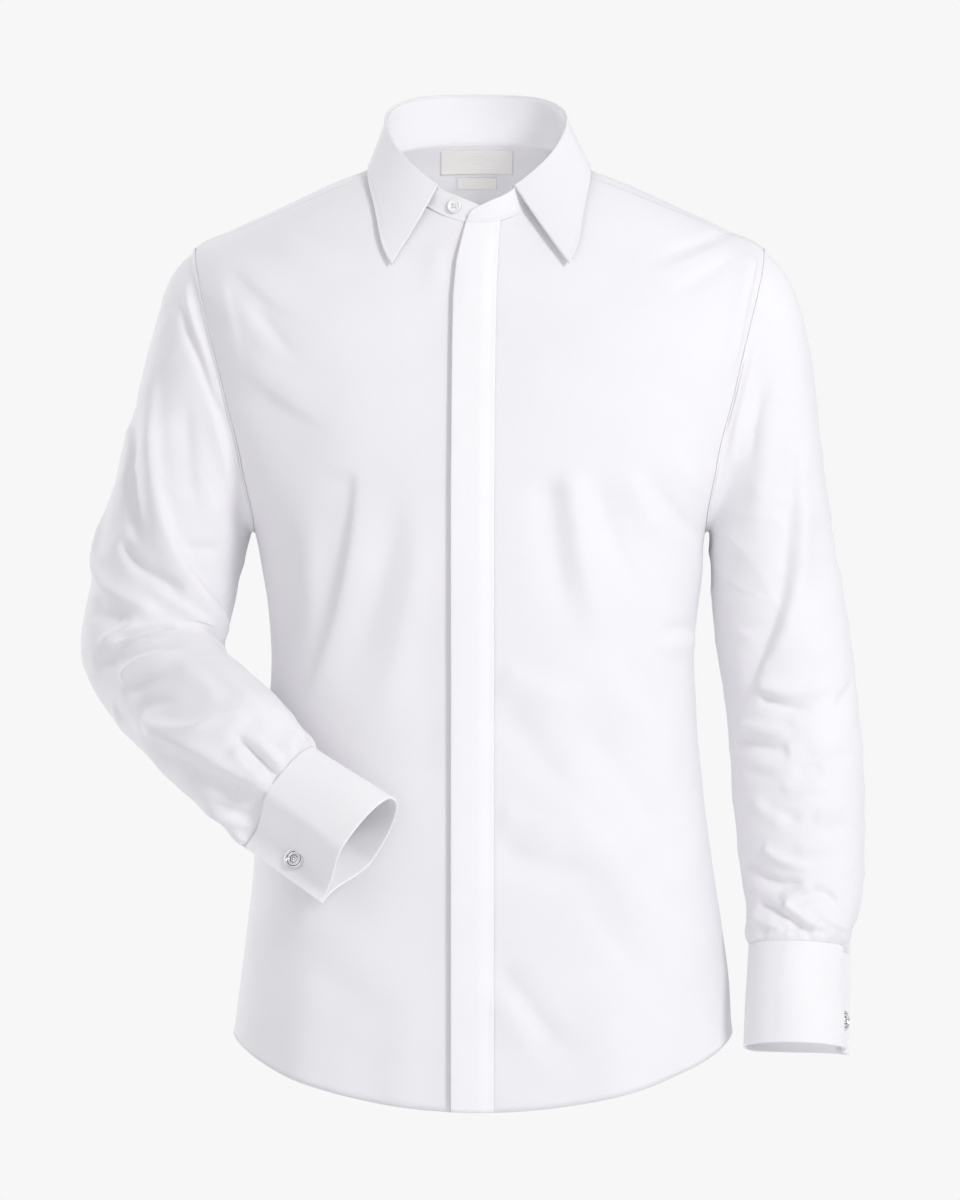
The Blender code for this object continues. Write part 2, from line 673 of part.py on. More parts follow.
# ---------------------------------------------------------------- the shirt
clear_scene()
SHIRT = new_collection("long_sleeve_dress_shirt")
CUTTERS = new_collection("cutters")


def build():
    def white(name):
        return material(name, WHITE, 0.85)

    front_panel("front_right", -1, 2, under_lift, white("front_right_cloth"))
    front_panel("front_left", 1, 1, lambda x: 0 * x, white("front_left_cloth"))
    fly_placket(white("fly_cloth"))
    back_panel(white("back_cloth"))
    yoke = yoke_points()
    cloth("yoke", yoke, CLOTH, white("yoke_cloth"))
    collar_band(white("band_cloth"))
    collar_leaf(white("leaf_cloth"))
    collar_button(material("collar_pearl", PEARL, 0.3))
    for number in range(FLY_BUTTONS):
        fly_button(number, material("fly_pearl_%d" % (number + 1), PEARL, 0.3))
    inside_patch("neck_label", LABEL, yoke, material("label", LABEL_WHITE, 0.7))
    inside_patch("size_tab", TAB, yoke, material("tab", LABEL_WHITE, 0.7))
    for word, side, table, cuff in (
        ("left", 1, LEFT_SLEEVE, LEFT_CUFF),
        ("right", -1, RIGHT_SLEEVE, RIGHT_CUFF),
    ):
        sleeve("sleeve_" + word, side, table, cuff, white("sleeve_cloth_" + word))
        cuff_piece("cuff_" + word, cuff, white("cuff_cloth_" + word))
        cuff_link("cuff_link_" + word, cuff, material("link_" + word, SILVER, 0.25, 1.0))


build()
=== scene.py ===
"""The looks of a long sleeve dress shirt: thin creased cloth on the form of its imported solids.

Shapes are worked out in millimetres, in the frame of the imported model: +Z up, the shirt faces -Y,
and the wearer's right arm is at -X. The tables of sizes are those of the solids, but for the lift of
the fly, the depth under it, the top of the collar band and the outer side of the cuffs.
"""

import math
from collections import namedtuple

import bmesh
import bpy
import numpy as np
from mathutils import Matrix, Vector


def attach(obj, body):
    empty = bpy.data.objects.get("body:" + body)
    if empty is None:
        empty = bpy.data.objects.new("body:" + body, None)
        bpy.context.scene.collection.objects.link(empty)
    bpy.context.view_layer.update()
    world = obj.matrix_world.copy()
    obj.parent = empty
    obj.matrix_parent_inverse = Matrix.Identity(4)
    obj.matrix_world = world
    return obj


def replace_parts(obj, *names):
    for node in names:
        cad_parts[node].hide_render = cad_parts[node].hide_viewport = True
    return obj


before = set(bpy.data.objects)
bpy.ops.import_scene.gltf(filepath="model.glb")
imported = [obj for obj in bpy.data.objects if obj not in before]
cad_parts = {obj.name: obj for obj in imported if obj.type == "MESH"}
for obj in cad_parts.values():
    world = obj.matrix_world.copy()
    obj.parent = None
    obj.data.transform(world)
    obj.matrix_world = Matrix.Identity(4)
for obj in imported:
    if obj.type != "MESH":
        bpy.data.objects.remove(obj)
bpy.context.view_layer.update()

MM = 0.001

# ---------------------------------------------------------------- the form, as in the solids
Ring = namedtuple("Ring", "right left front back z_front z_side z_back square dip back_dip")
BODY = [
    Ring(76, 74, 66, 58, -46, 2, 23, 2.00, 1.5, 0.6),  # 0 neckline
    Ring(112, 110, 77, 74, -70, -10, 4, 2.00, 1.5, 1.1),
    Ring(157, 157, 89, 92, -98, -31, -25, 2.05, 1.5, 1.5),
    Ring(196, 196, 99, 106, -130, -49, -56, 2.10, 1.5, 1.5),
    Ring(230, 230, 106, 116, -161, -67, -90, 2.15, 1.5, 1.5),  # 4 shoulder corner
    Ring(238, 236, 111, 122, -195, -108, -134, 2.20, 1.5, 1.5),
    Ring(227, 225, 113, 125, -230, -172, -186, 2.25, 1.5, 1.5),  # 6 widest part of the armhole
    Ring(205, 204, 114, 124, -262, -236, -240, 2.30, 1.5, 1.5),
    Ring(182, 182, 114, 120, -292, -290, -290, 2.35, 1.3, 1.3),  # 8 underarm
    Ring(174, 178, 112, 113, -332, -332, -332, 2.35, 1.2, 1.2),
    Ring(168, 172, 107, 104, -388, -388, -388, 2.35, 1.3, 1.3),  # 10 waist
    Ring(171, 175, 107, 103, -450, -450, -450, 2.35, 1.2, 1.2),
    Ring(179, 184, 110, 109, -536, -534, -536, 2.30, 1.2, 1.2),
    Ring(189, 197, 113, 116, -642, -626, -641, 2.25, 1.1, 1.1),
    Ring(198, 203, 116, 122, -753, -695, -751, 2.20, 1.1, 1.1),  # 14 hem
]
HEM = len(BODY) - 1

ARMHOLE_RING = 6.0
ARMHOLE_HALF_RINGS = 2.05
ARMHOLE_HALF_ANGLE = math.radians(29)
YOKE_FRONT_TURN = math.radians(15)  # where the yoke's front and back seams meet the armhole
YOKE_BACK_TURN = math.radians(30)
YOKE_NECK_ANGLE = math.radians(68)

Fly = namedtuple("Fly", "z edge stitch")
FLY = [
    Fly(-36, -8.4, 17.0),
    Fly(-56, -13.6, 15.6),
    Fly(-81, -19.3, 14.2),
    Fly(-106, -21.8, 13.3),
    Fly(-150, -22.7, 12.3),
    Fly(-260, -23.5, 11.3),
    Fly(-760, -23.5, 11.0),
]
FLY_LIFT = 2.1  # the cloth lies a little flatter than its solid
FLY_BASE = 1.35
UNDER_DEPTH = 0.95  # the wearer's right front lies this far in under the fly
UNDER_FROM = -75  # X at which it begins to dip, and how far on it is all the way down
UNDER_WIDTH = 45

Tube = namedtuple("Tube", "outer_x outer_z inner_x inner_z y depth")
LEFT_SLEEVE = [
    Tube(250, -92, 184.0, -294, 2, 58),
    Tube(263, -137, 185.0, -299, 3, 60),
    Tube(271, -190, 185.0, -306, 5, 61),
    Tube(277, -240, 186.0, -318, 6, 60),
    Tube(285, -304, 187.0, -336, 8, 58),
    Tube(294, -350, 189.0, -362, 9, 56),
    Tube(301, -400, 194.0, -402, 8, 54),
    Tube(306, -452, 200.0, -452, 3, 53),
    Tube(309, -508, 204.0, -506, -5, 51),
    Tube(308, -560, 209.0, -556, -14, 48),
    Tube(304, -598, 214.0, -594, -22, 45),
]
RIGHT_SLEEVE = [
    Tube(-250, -93, -184.0, -294, 2, 58),
    Tube(-264, -138, -186.0, -299, 4, 60),
    Tube(-276, -184, -188.0, -306, 6, 62),
    Tube(-289, -232, -191.0, -317, 8, 62),
    Tube(-303, -286, -195.0, -332, 9, 61),
    Tube(-314, -338, -198.0, -352, 8, 60),
    Tube(-321, -376, -203.0, -372, 4, 59),
    Tube(-316, -407, -205.0, -386, -5, 58),  # elbow
    Tube(-301, -433, -201.0, -396, -20, 57),
    Tube(-278, -459, -189.0, -403, -45, 56),
    Tube(-248, -488, -172.0, -415, -77, 53),
    Tube(-214, -516, -154.0, -433, -108, 45),
]

# A cuff's tail is the flat end that its link closes. The ends are measured from the middle, flat is
# how far the tail runs before the cuff opens, shift how far it stands out, link the link's share of
# the length, and tail_at the turn of the sleeve, in degrees, at which the tail is.
Cuff = namedtuple(
    "Cuff", "middle axis tail length round_end tail_end depth outer_depth flat shift link tail_at"
)
LEFT_CUFF = Cuff(
    (257.5, -30, -626), (-0.02, -0.17, -0.985), (0.47, 0.87, 0), 82, 46, 52, 41, 36, 24, 16, 0.68, 300
)
RIGHT_CUFF = Cuff(
    (-157, -121, -503), (0.75, -0.40, -0.52), (-0.57, 0, -0.82), 81, 47, 49, 34, 28, 12, 0, 0.52, 0
)
CUFF_FLARE = 1.08
CUFF_WALL = 2.4
LINK_FROM_END = 15.5

FOLD_MIDDLE = (-3.0, -5.0)
FOLD_HALF_WIDTH = 72.0
FOLD_HALF_DEPTH = 59.0
FOLD_HEIGHTS = [61.4, 60.6, 58.2, 52.3, 43.5, 31, 13, -5, -22.5]  # one every 20 degrees from the back
FOLD_STEP = math.radians(20)
FOLD_END = math.radians(156)
BAND_END = math.radians(187.5)
BAND_ROUNDING = 36.0
BAND_FRONT_HEIGHT = 17.5
BAND_FOOT_RISE = 0.8
BAND_BELOW_FOLD = 0.5
BAND_CROSS = 1.15
COLLAR_WALL = 1.5
Edge = namedtuple("Edge", "ring angle lift")
LEAF_EDGE = [
    Edge(0.62, 0, 3.6),
    Edge(0.58, 34, 3.6),
    Edge(0.47, 66, 3.6),
    Edge(0.37, 95, 3.8),
    Edge(0.68, 117.5, 4.0),
    Edge(1.16, 136, 4.2),
    Edge(1.94, 153.2, 4.4),
]
LEAF_ROLL = 1.9
LEAF_CROWN = -0.8
RIGHT_LEAF_SINK = 1.9  # the leaf lies closer to the cloth on the wearer's right

BUTTON_RADIUS = 5.5
COLLAR_BUTTON_ANGLE = math.radians(164.5)
BUTTONHOLE_HEIGHT = 10.0  # above the edge of the band's foot
FLY_BUTTONS = 7
FLY_BUTTON_TOP = -102.0
FLY_BUTTON_SPACING = 80.0
FLY_BUTTON_X = -6.0
FLY_TACKS = (-102, -187, -494, -581)  # heights at which the fly is tacked to the cloth under it
FLY_TACK_X = -5.0
FLY_TACK_DEPTH = 0.45
FLY_ROWS = 420
FLY_TOP_RINGS = (0.02, 0.06)  # its first two rows, by the neckline
# the cloth folded under at its free edge: the share of the fly's width, and how far below its face
FLY_TURN = ((0.30, -1.25), (0.16, -1.25), (0.07, -1.2), (0.022, -1.0), (0.004, -0.55))

# ---------------------------------------------------------------- the cloth
SHIRTING = 0.6  # wall of one layer, in millimetres
FLY_CLOTH = 0.5
COLLAR_CLOTH = 1.3
CUFF_LAYER = 0.9
SEAM = 0.10  # the line that shows between two pieces
HEM_DEPTH = 6.0
HEM_RISE = 0.35
HEM_GROOVE = 0.18
TOPSTITCH = 5.5  # from the edge of a collar or cuff to its stitches
MOUTH_STITCH = 4.3  # from the open end of a cuff to its stitches
FLY_STITCH = 1.6  # from the fly's sewn edge
YOKE_STITCH = 1.7
ARMHOLE_STITCH = 7.0
BAND_STITCH = 2.2
CAMERA_DISTANCE = 6000.0
CAMERA_HEIGHT = -348.0
PICTURE_HEIGHT = 0.966  # metres, top to bottom of the view at the shirt

# A crease: its ridge (or, below zero, its trough) along a path of X and Z as the front view shows
# them. Near is the half width on the left of the path's direction as seen from outside, far on the
# right. Blunt is the power of its profile, 2 for a soft wave. Start and end are the shares of the
# path over which it fades.
Crease = namedtuple("Crease", "rise near far blunt start end path")


def creases(rows, left=1.0, right=1.0):
    """The creases of a table, each row its six sizes and then the points of its path. Left and
    right are factors on the rise of those that start on that side of the wearer."""
    made = [Crease(*row[:6], row[6:]) for row in rows]
    return [c._replace(rise=c.rise * (left if c.path[0][0] > 0 else right)) for c in made]


LEFT_BOOST = 1.4
BACK_BOOST = 1.7
SLEEVE_RISE = 1.25  # factors on the rise and the width of every crease of a sleeve
SLEEVE_WIDTH = 0.8

BODY_FRONT_CREASES = creases([
    # wearer's right chest: the V from the shoulder and the line beside the armhole
    (2.4, 6, 13, 1.8, 0.3, 0.5, (-210, -84), (-205, -110), (-199, -128), (-192, -180)),
    (-3.0, 6, 14, 1.8, 0.35, 0.6, (-212, -72), (-190, -96), (-161, -120), (-120, -134)),
    (2.6, 8, 10, 1.9, 0.3, 0.6, (-205, -98), (-184, -124), (-160, -152), (-124, -176)),
    (-2.8, 8, 13, 1.9, 0.35, 0.6, (-188, -106), (-164, -138), (-136, -174)),
    (-4.2, 10, 28, 2.0, 0.35, 0.6, (-197, -172), (-168, -194), (-140, -211), (-106, -226)),
    (2.8, 12, 18, 2.0, 0.4, 0.6, (-200, -148), (-165, -172), (-124, -194)),
    (1.8, 9, 14, 2.0, 0.4, 0.5, (-172, -54), (-140, -70), (-98, -82)),
    # its torso: the fold that starts under the chest and runs to the waist
    (-3.4, 5, 22, 1.7, 0.22, 0.5, (-106, -240), (-108, -262), (-112, -300), (-122, -350), (-138, -410)),
    (3.8, 20, 9, 1.8, 0.45, 0.3, (-96, -244), (-99, -290), (-108, -345), (-124, -400), (-145, -446)),
    (-3.4, 13, 18, 2.0, 0.4, 0.4, (-68, -240), (-74, -300), (-92, -366), (-112, -430)),
    (2.8, 14, 12, 2.0, 0.4, 0.5, (-46, -258), (-52, -330), (-70, -410), (-90, -470)),
    (-1.5, 12, 12, 2.0, 0.5, 0.5, (-36, -400), (-42, -460), (-52, -520)),
    (-3.0, 12, 16, 2.0, 0.4, 0.5, (-158, -272), (-152, -340), (-156, -402)),
    (2.0, 10, 15, 2.0, 0.4, 0.5, (-138, -262), (-136, -330), (-142, -402)),
    (-2.4, 14, 18, 2.0, 0.4, 0.6, (-162, -520), (-120, -566), (-66, -610)),
    (2.6, 16, 22, 2.0, 0.4, 0.6, (-176, -560), (-130, -610), (-70, -650)),
    (-1.9, 13, 16, 2.0, 0.4, 0.5, (-150, -636), (-96, -672), (-48, -694)),
    # wearer's left chest and shoulder: drag lines to the seam
    (-1.5, 4, 8, 1.8, 0.5, 0.3, (126, -77), (160, -66), (190, -56), (214, -47)),
    (1.1, 5, 8, 1.8, 0.5, 0.3, (130, -90), (165, -76), (208, -56)),
    (-1.5, 4, 9, 1.8, 0.5, 0.3, (138, -107), (168, -94), (190, -80), (207, -68)),
    (3.0, 4, 10, 2.4, 0.12, 0.35, (221, -66), (213, -104), (206, -142), (198, -184)),
    # its torso
    (3.0, 13, 10, 1.8, 0.14, 0.5, (70, -240), (76, -282), (84, -330), (104, -392)),
    (-3.0, 12, 16, 1.9, 0.2, 0.5, (54, -236), (58, -286), (66, -340), (84, -402)),
    (-2.0, 10, 10, 1.9, 0.25, 0.5, (92, -238), (102, -280), (116, -320), (130, -352)),
    (1.9, 9, 10, 1.9, 0.3, 0.4, (116, -236), (124, -262), (140, -290), (164, -312)),
    (-2.0, 7, 9, 1.9, 0.35, 0.3, (134, -238), (146, -262), (160, -282), (178, -300)),
    (1.3, 6, 7, 1.9, 0.35, 0.3, (152, -226), (164, -246), (180, -266)),
    (-1.7, 5, 8, 1.8, 0.5, 0.15, (140, -373), (156, -371), (173, -368)),
    (1.8, 6, 9, 1.8, 0.4, 0.15, (138, -385), (156, -384), (174, -381)),
    (2.0, 10, 13, 2.0, 0.15, 0.6, (14, -405), (40, -418), (66, -428), (90, -430)),
    (-2.4, 13, 15, 2.0, 0.12, 0.6, (14, -430), (46, -470), (72, -510), (98, -560)),
    (-3.0, 16, 20, 2.0, 0.3, 0.5, (62, -424), (108, -482), (150, -540), (182, -596)),
    (2.4, 15, 18, 2.0, 0.3, 0.5, (92, -400), (130, -440), (168, -500)),
    (2.6, 14, 18, 2.0, 0.3, 0.5, (38, -474), (84, -534), (130, -592), (168, -640)),
    (-2.4, 9, 14, 2.0, 0.15, 0.5, (14, -548), (42, -560), (76, -566), (112, -566)),
    (2.0, 10, 12, 2.0, 0.15, 0.5, (14, -520), (44, -530), (74, -534)),
    (-2.2, 15, 12, 2.0, 0.4, 0.5, (82, -572), (98, -606), (126, -640), (156, -662)),
    (-2.8, 9, 12, 2.0, 0.12, 0.5, (13, -640), (36, -672), (60, -702), (90, -724)),
    (2.2, 11, 14, 2.0, 0.15, 0.5, (15, -664), (34, -694), (54, -716)),
    (2.0, 12, 12, 2.0, 0.5, 0.3, (134, -560), (152, -575), (182, -580)),
    # soft waves along the hem
    (3.0, 20, 20, 2.0, 0.8, 0.0, (-132, -610), (-140, -670), (-146, -742)),
    (-2.6, 18, 22, 2.0, 0.8, 0.0, (-82, -640), (-86, -700), (-88, -756)),
    (2.4, 18, 20, 2.0, 0.8, 0.0, (98, -650), (104, -700), (110, -756)),
    (-2.4, 18, 18, 2.0, 0.8, 0.0, (148, -630), (156, -690), (162, -742)),
    # under the collar points
    (1.6, 8, 10, 2.0, 0.3, 0.5, (-38, -58), (-34, -80), (-36, -108)),
    (-1.4, 8, 9, 2.0, 0.3, 0.5, (-24, -66), (-23, -96), (-27, -132)),
], left=LEFT_BOOST)

BODY_BACK_CREASES = creases([
    # between the shoulder blades and down from them
    (-2.6, 14, 18, 2.0, 0.4, 0.5, (-150, -150), (-146, -206), (-136, -270), (-120, -336)),
    (2.8, 12, 16, 2.0, 0.4, 0.5, (-118, -168), (-116, -240), (-106, -318)),
    (2.4, 13, 13, 2.0, 0.4, 0.5, (132, -160), (134, -224), (124, -296)),
    (-2.8, 15, 14, 2.0, 0.4, 0.5, (160, -166), (160, -232), (142, -310), (126, -368)),
    (2.0, 18, 18, 2.0, 0.5, 0.5, (-36, -132), (-30, -212), (-34, -300)),
    (-2.0, 16, 18, 2.0, 0.5, 0.5, (46, -140), (42, -220), (50, -306)),
    # folds pushed up in the small of the back
    (3.6, 9, 14, 1.9, 0.35, 0.5, (-158, -352), (-116, -372), (-66, -380), (-20, -370)),
    (-3.2, 8, 12, 1.9, 0.35, 0.5, (-150, -376), (-108, -396), (-58, -402)),
    (3.2, 8, 13, 1.9, 0.4, 0.35, (18, -392), (66, -404), (112, -398), (160, -374)),
    (-3.0, 8, 12, 1.9, 0.4, 0.35, (46, -420), (96, -420), (156, -398)),
    (2.8, 8, 12, 1.9, 0.4, 0.5, (-162, -420), (-112, -442), (-60, -438)),
    (-2.4, 9, 12, 1.9, 0.5, 0.5, (-28, -438), (24, -452), (70, -448)),
    (2.4, 9, 12, 1.9, 0.4, 0.4, (62, -470), (112, -462), (164, -440)),
    # long soft folds to the hem
    (3.6, 18, 22, 2.0, 0.5, 0.0, (-104, -500), (-116, -600), (-126, -752)),
    (-3.4, 20, 18, 2.0, 0.5, 0.0, (-58, -486), (-62, -610), (-64, -756)),
    (3.4, 18, 20, 2.0, 0.5, 0.0, (-8, -520), (-4, -640), (4, -756)),
    (-3.2, 18, 20, 2.0, 0.5, 0.0, (52, -500), (58, -620), (68, -756)),
    (3.4, 20, 18, 2.0, 0.5, 0.0, (108, -520), (120, -630), (134, -748)),
    (-2.6, 14, 16, 2.0, 0.5, 0.0, (158, -540), (170, -630), (178, -720)),
    (-2.8, 14, 16, 2.0, 0.5, 0.0, (-158, -540), (-168, -630), (-172, -724)),
    # across the shoulders
    (1.6, 9, 13, 2.0, 0.4, 0.4, (-176, -86), (-120, -96), (-62, -84)),
    (-1.6, 9, 13, 2.0, 0.4, 0.4, (64, -92), (122, -104), (180, -92)),
    (-1.5, 8, 12, 2.0, 0.4, 0.4, (-196, -112), (-150, -124), (-100, -120)),
], left=BACK_BOOST, right=BACK_BOOST)

RIGHT_FRONT_CREASES = creases([  # wearer's right sleeve, on the left of the front view
    (3.4, 4, 7, 1.8, 0.15, 0.3, (-237, -86), (-232, -121), (-222, -147), (-212, -175), (-203, -194),
     (-190, -226)),
    (2.7, 4, 6, 1.8, 0.2, 0.3, (-229, -80), (-224, -103), (-216, -126), (-208, -146), (-200, -166)),
    (-2.8, 3, 4, 1.8, 0.2, 0.3, (-231, -82), (-226, -105), (-217, -133), (-207, -160), (-198, -181)),
    (-3.0, 9, 5, 1.8, 0.25, 0.3, (-239, -103), (-236, -129), (-225, -156), (-213, -187), (-201, -209),
     (-189, -236)),
    (2.0, 8, 10, 1.9, 0.4, 0.4, (-222, -170), (-214, -206), (-204, -246), (-198, -286)),
    (6.0, 8, 17, 1.9, 0.25, 0.10, (-262, -140), (-263, -181), (-263, -217), (-262, -251), (-258, -272),
     (-251, -298), (-240, -322), (-226, -342), (-212, -360), (-202, -378)),
    (-4.4, 15, 8, 1.9, 0.3, 0.3, (-281, -172), (-281, -214), (-282, -250), (-279, -286), (-270, -312)),
    (-2.6, 9, 13, 1.9, 0.3, 0.5, (-240, -176), (-236, -220), (-232, -262), (-222, -296)),
    (-1.6, 6, 9, 1.9, 0.4, 0.3, (-244, -298), (-228, -307), (-204, -304)),
    (4.6, 9, 10, 1.8, 0.25, 0.2, (-298, -258), (-303, -290), (-308, -318), (-302, -336), (-286, -346),
     (-270, -354), (-256, -366)),
    (-4.4, 7, 6, 1.8, 0.15, 0.2, (-291, -297), (-277, -320), (-256, -332), (-238, -344)),
    (2.6, 6, 8, 1.8, 0.3, 0.25, (-272, -336), (-252, -346), (-232, -360), (-212, -378)),
    (-4.6, 10, 13, 1.9, 0.3, 0.3, (-316, -346), (-300, -358), (-280, -366)),
    # the elbow: one sharp crease and the fans round it
    (-3.6, 4.5, 2.6, 1.5, 0.25, 0.3, (-297, -382), (-285, -377), (-270, -373), (-255, -370), (-243, -371)),
    (2.6, 7, 4, 1.8, 0.3, 0.4, (-309, -384), (-298, -378), (-284, -371), (-268, -367)),
    (2.4, 5, 8, 1.8, 0.4, 0.4, (-290, -386), (-268, -381), (-246, -380)),
    (-3.6, 3.5, 2.6, 1.5, 0.3, 0.2, (-226, -372), (-214, -378), (-204, -387)),
    (-3.0, 9, 8, 1.9, 0.3, 0.5, (-312, -396), (-298, -398), (-284, -392)),
    (4.2, 6, 9, 1.7, 0.12, 0.4, (-289, -414), (-282, -403), (-268, -396), (-248, -392), (-232, -388)),
    (-2.4, 7, 10, 1.9, 0.2, 0.6, (-290, -424), (-270, -412), (-250, -408)),
    (2.6, 9, 12, 1.9, 0.3, 0.3, (-250, -400), (-232, -408), (-218, -420), (-206, -434)),
    (-2.2, 8, 7, 1.9, 0.2, 0.6, (-276, -434), (-256, -430), (-238, -430)),
    (4.4, 6, 8, 1.7, 0.1, 0.3, (-272, -443), (-259, -449), (-240, -452), (-224, -450), (-208, -434)),
    (-3.0, 12, 8, 1.9, 0.3, 0.5, (-296, -436), (-286, -446), (-272, -452)),
    (2.4, 10, 12, 2.0, 0.4, 0.4, (-216, -398), (-194, -418), (-172, -440)),
    (-1.8, 7, 8, 1.9, 0.4, 0.3, (-206, -470), (-190, -452), (-176, -440)),
    # the long pleats that run into the cuff
    (5.2, 10, 5, 1.8, 0.15, 0.04, (-273, -452), (-248, -460), (-214, -477), (-190, -490), (-166, -503)),
    (-4.8, 7, 13, 1.9, 0.2, 0.05, (-266, -468), (-240, -481), (-208, -497), (-186, -507), (-168, -514)),
    (-4.4, 2.6, 4, 1.6, 0.12, 0.05, (-194, -457), (-187, -465), (-178, -475), (-160, -494)),
    (4.0, 4, 7, 1.8, 0.2, 0.05, (-202, -466), (-188, -481), (-172, -496)),
    (3.0, 7, 3, 1.8, 0.3, 0.05, (-184, -458), (-170, -474), (-156, -488)),
    (-3.0, 2.4, 3, 1.6, 0.3, 0.1, (-139, -457), (-142, -466), (-147, -475)),
    (1.8, 6, 8, 1.9, 0.4, 0.1, (-152, -452), (-152, -466), (-150, -478)),
    (-2.8, 5, 5, 1.8, 0.3, 0.05, (-222, -510), (-204, -516), (-188, -520), (-174, -518)),
    (2.4, 6, 7, 1.9, 0.4, 0.1, (-236, -506), (-210, -522), (-186, -530)),
])

RIGHT_BACK_CREASES = creases([
    (3.4, 9, 13, 1.9, 0.4, 0.4, (-238, -130), (-246, -190), (-252, -250)),
    (-3.2, 9, 10, 1.9, 0.4, 0.4, (-262, -150), (-272, -210), (-280, -268)),
    (-2.6, 9, 9, 1.9, 0.4, 0.4, (-214, -190), (-222, -250), (-230, -306)),
    (3.4, 8, 11, 1.9, 0.3, 0.4, (-300, -292), (-264, -322), (-218, -336)),
    (-3.2, 6, 8, 1.8, 0.3, 0.4, (-306, -318), (-268, -346), (-226, -356)),
    (3.0, 7, 9, 1.9, 0.3, 0.4, (-312, -350), (-276, -370), (-234, -372)),
    (-2.8, 6, 8, 1.8, 0.3, 0.4, (-312, -382), (-280, -392), (-244, -386)),
    (2.8, 7, 8, 1.9, 0.4, 0.4, (-296, -418), (-268, -412), (-236, -398)),
    (-2.6, 7, 8, 1.9, 0.4, 0.3, (-270, -452), (-240, -440), (-204, -420)),
    (2.8, 6, 8, 1.9, 0.3, 0.1, (-240, -464), (-210, -470), (-178, -482)),
    (-2.6, 5, 6, 1.8, 0.3, 0.1, (-226, -440), (-196, -452), (-168, -466)),
])

LEFT_FRONT_CREASES = creases([  # wearer's left sleeve, on the right of the front view
    # the sleeve stands over the body along its front edge
    (3.4, 6, 9, 1.8, 0.35, 0.3, (222, -140), (212, -172), (205, -206), (200, -244)),
    (-2.2, 6, 7, 1.8, 0.3, 0.4, (230, -166), (222, -204), (216, -244)),
    (2.0, 10, 12, 1.9, 0.4, 0.4, (236, -190), (226, -250), (220, -306)),
    # the long shaded edge down the middle
    (-3.2, 4, 14, 1.7, 0.35, 0.15, (254, -200), (252, -250), (250, -290), (245, -335), (238, -362),
     (226, -394), (208, -436)),
    (3.6, 14, 6, 1.8, 0.35, 0.2, (260, -210), (260, -280), (256, -330), (247, -370), (232, -406)),
    (-1.0, 4, 5, 1.9, 0.4, 0.4, (238, -336), (222, -344), (206, -346)),
    (-1.0, 4, 5, 1.9, 0.4, 0.4, (232, -362), (218, -370), (204, -371)),
    # wrinkles over the elbow
    (3.6, 7, 4.5, 1.8, 0.12, 0.3, (222, -417), (240, -422), (262, -424), (290, -414)),
    (-3.8, 4, 6, 1.8, 0.12, 0.35, (224, -426), (240, -431), (254, -435), (272, -436)),
    (-2.6, 4, 5, 1.8, 0.4, 0.15, (284, -436), (292, -426), (300, -414)),
    (3.2, 6, 4.5, 1.8, 0.1, 0.35, (207, -449), (224, -452), (240, -455), (256, -452)),
    (-4.0, 4.5, 9, 1.9, 0.1, 0.25, (205, -460), (222, -464), (240, -468), (250, -468)),
    (2.4, 8, 8, 1.9, 0.3, 0.4, (244, -444), (266, -450), (286, -446)),
    (2.6, 8, 8, 1.9, 0.3, 0.4, (262, -470), (280, -466), (298, -458)),
    (-2.0, 7, 6, 1.9, 0.4, 0.4, (206, -484), (224, -488), (242, -488)),
    # forearm
    (3.2, 7, 6, 1.8, 0.25, 0.35, (238, -496), (254, -500), (268, -498), (282, -492)),
    (-2.8, 5, 5, 1.8, 0.3, 0.3, (252, -489), (266, -485), (280, -487)),
    (-2.6, 7, 6, 1.9, 0.3, 0.3, (224, -512), (242, -520), (262, -526)),
    (2.6, 8, 7, 1.9, 0.3, 0.3, (214, -508), (232, -518), (248, -528)),
    (2.6, 7, 7, 1.9, 0.35, 0.3, (266, -524), (280, -518), (296, -508)),
    (-2.2, 6, 6, 1.9, 0.3, 0.3, (272, -540), (286, -532), (300, -528)),
    (3.6, 5, 5, 1.8, 0.1, 0.35, (227, -546), (240, -556), (254, -562), (272, -562)),
    (-3.8, 4, 8, 1.8, 0.12, 0.2, (212, -556), (226, -568), (242, -576), (262, -574)),
    (2.2, 6, 7, 1.9, 0.3, 0.3, (250, -546), (268, -548), (286, -542)),
    (-3.4, 4.5, 5, 1.8, 0.3, 0.15, (252, -592), (264, -584), (278, -584), (290, -594)),
    (3.2, 5, 4, 1.8, 0.3, 0.2, (240, -588), (254, -584), (268, -578)),
    # pleats into the cuff
    (3.4, 4, 5, 1.8, 0.08, 0.2, (244, -592), (254, -600), (264, -608), (276, -614)),
    (-3.8, 4, 4, 1.8, 0.15, 0.1, (222, -590), (238, -598), (254, -608), (268, -618)),
    (2.8, 5, 5, 1.9, 0.25, 0.15, (216, -600), (230, -608), (246, -616)),
    (-2.4, 3, 3, 1.8, 0.15, 0.15, (222, -617), (240, -613), (262, -612), (282, -618)),
    (2.4, 5, 4, 1.9, 0.2, 0.2, (272, -600), (284, -608), (296, -612)),
])

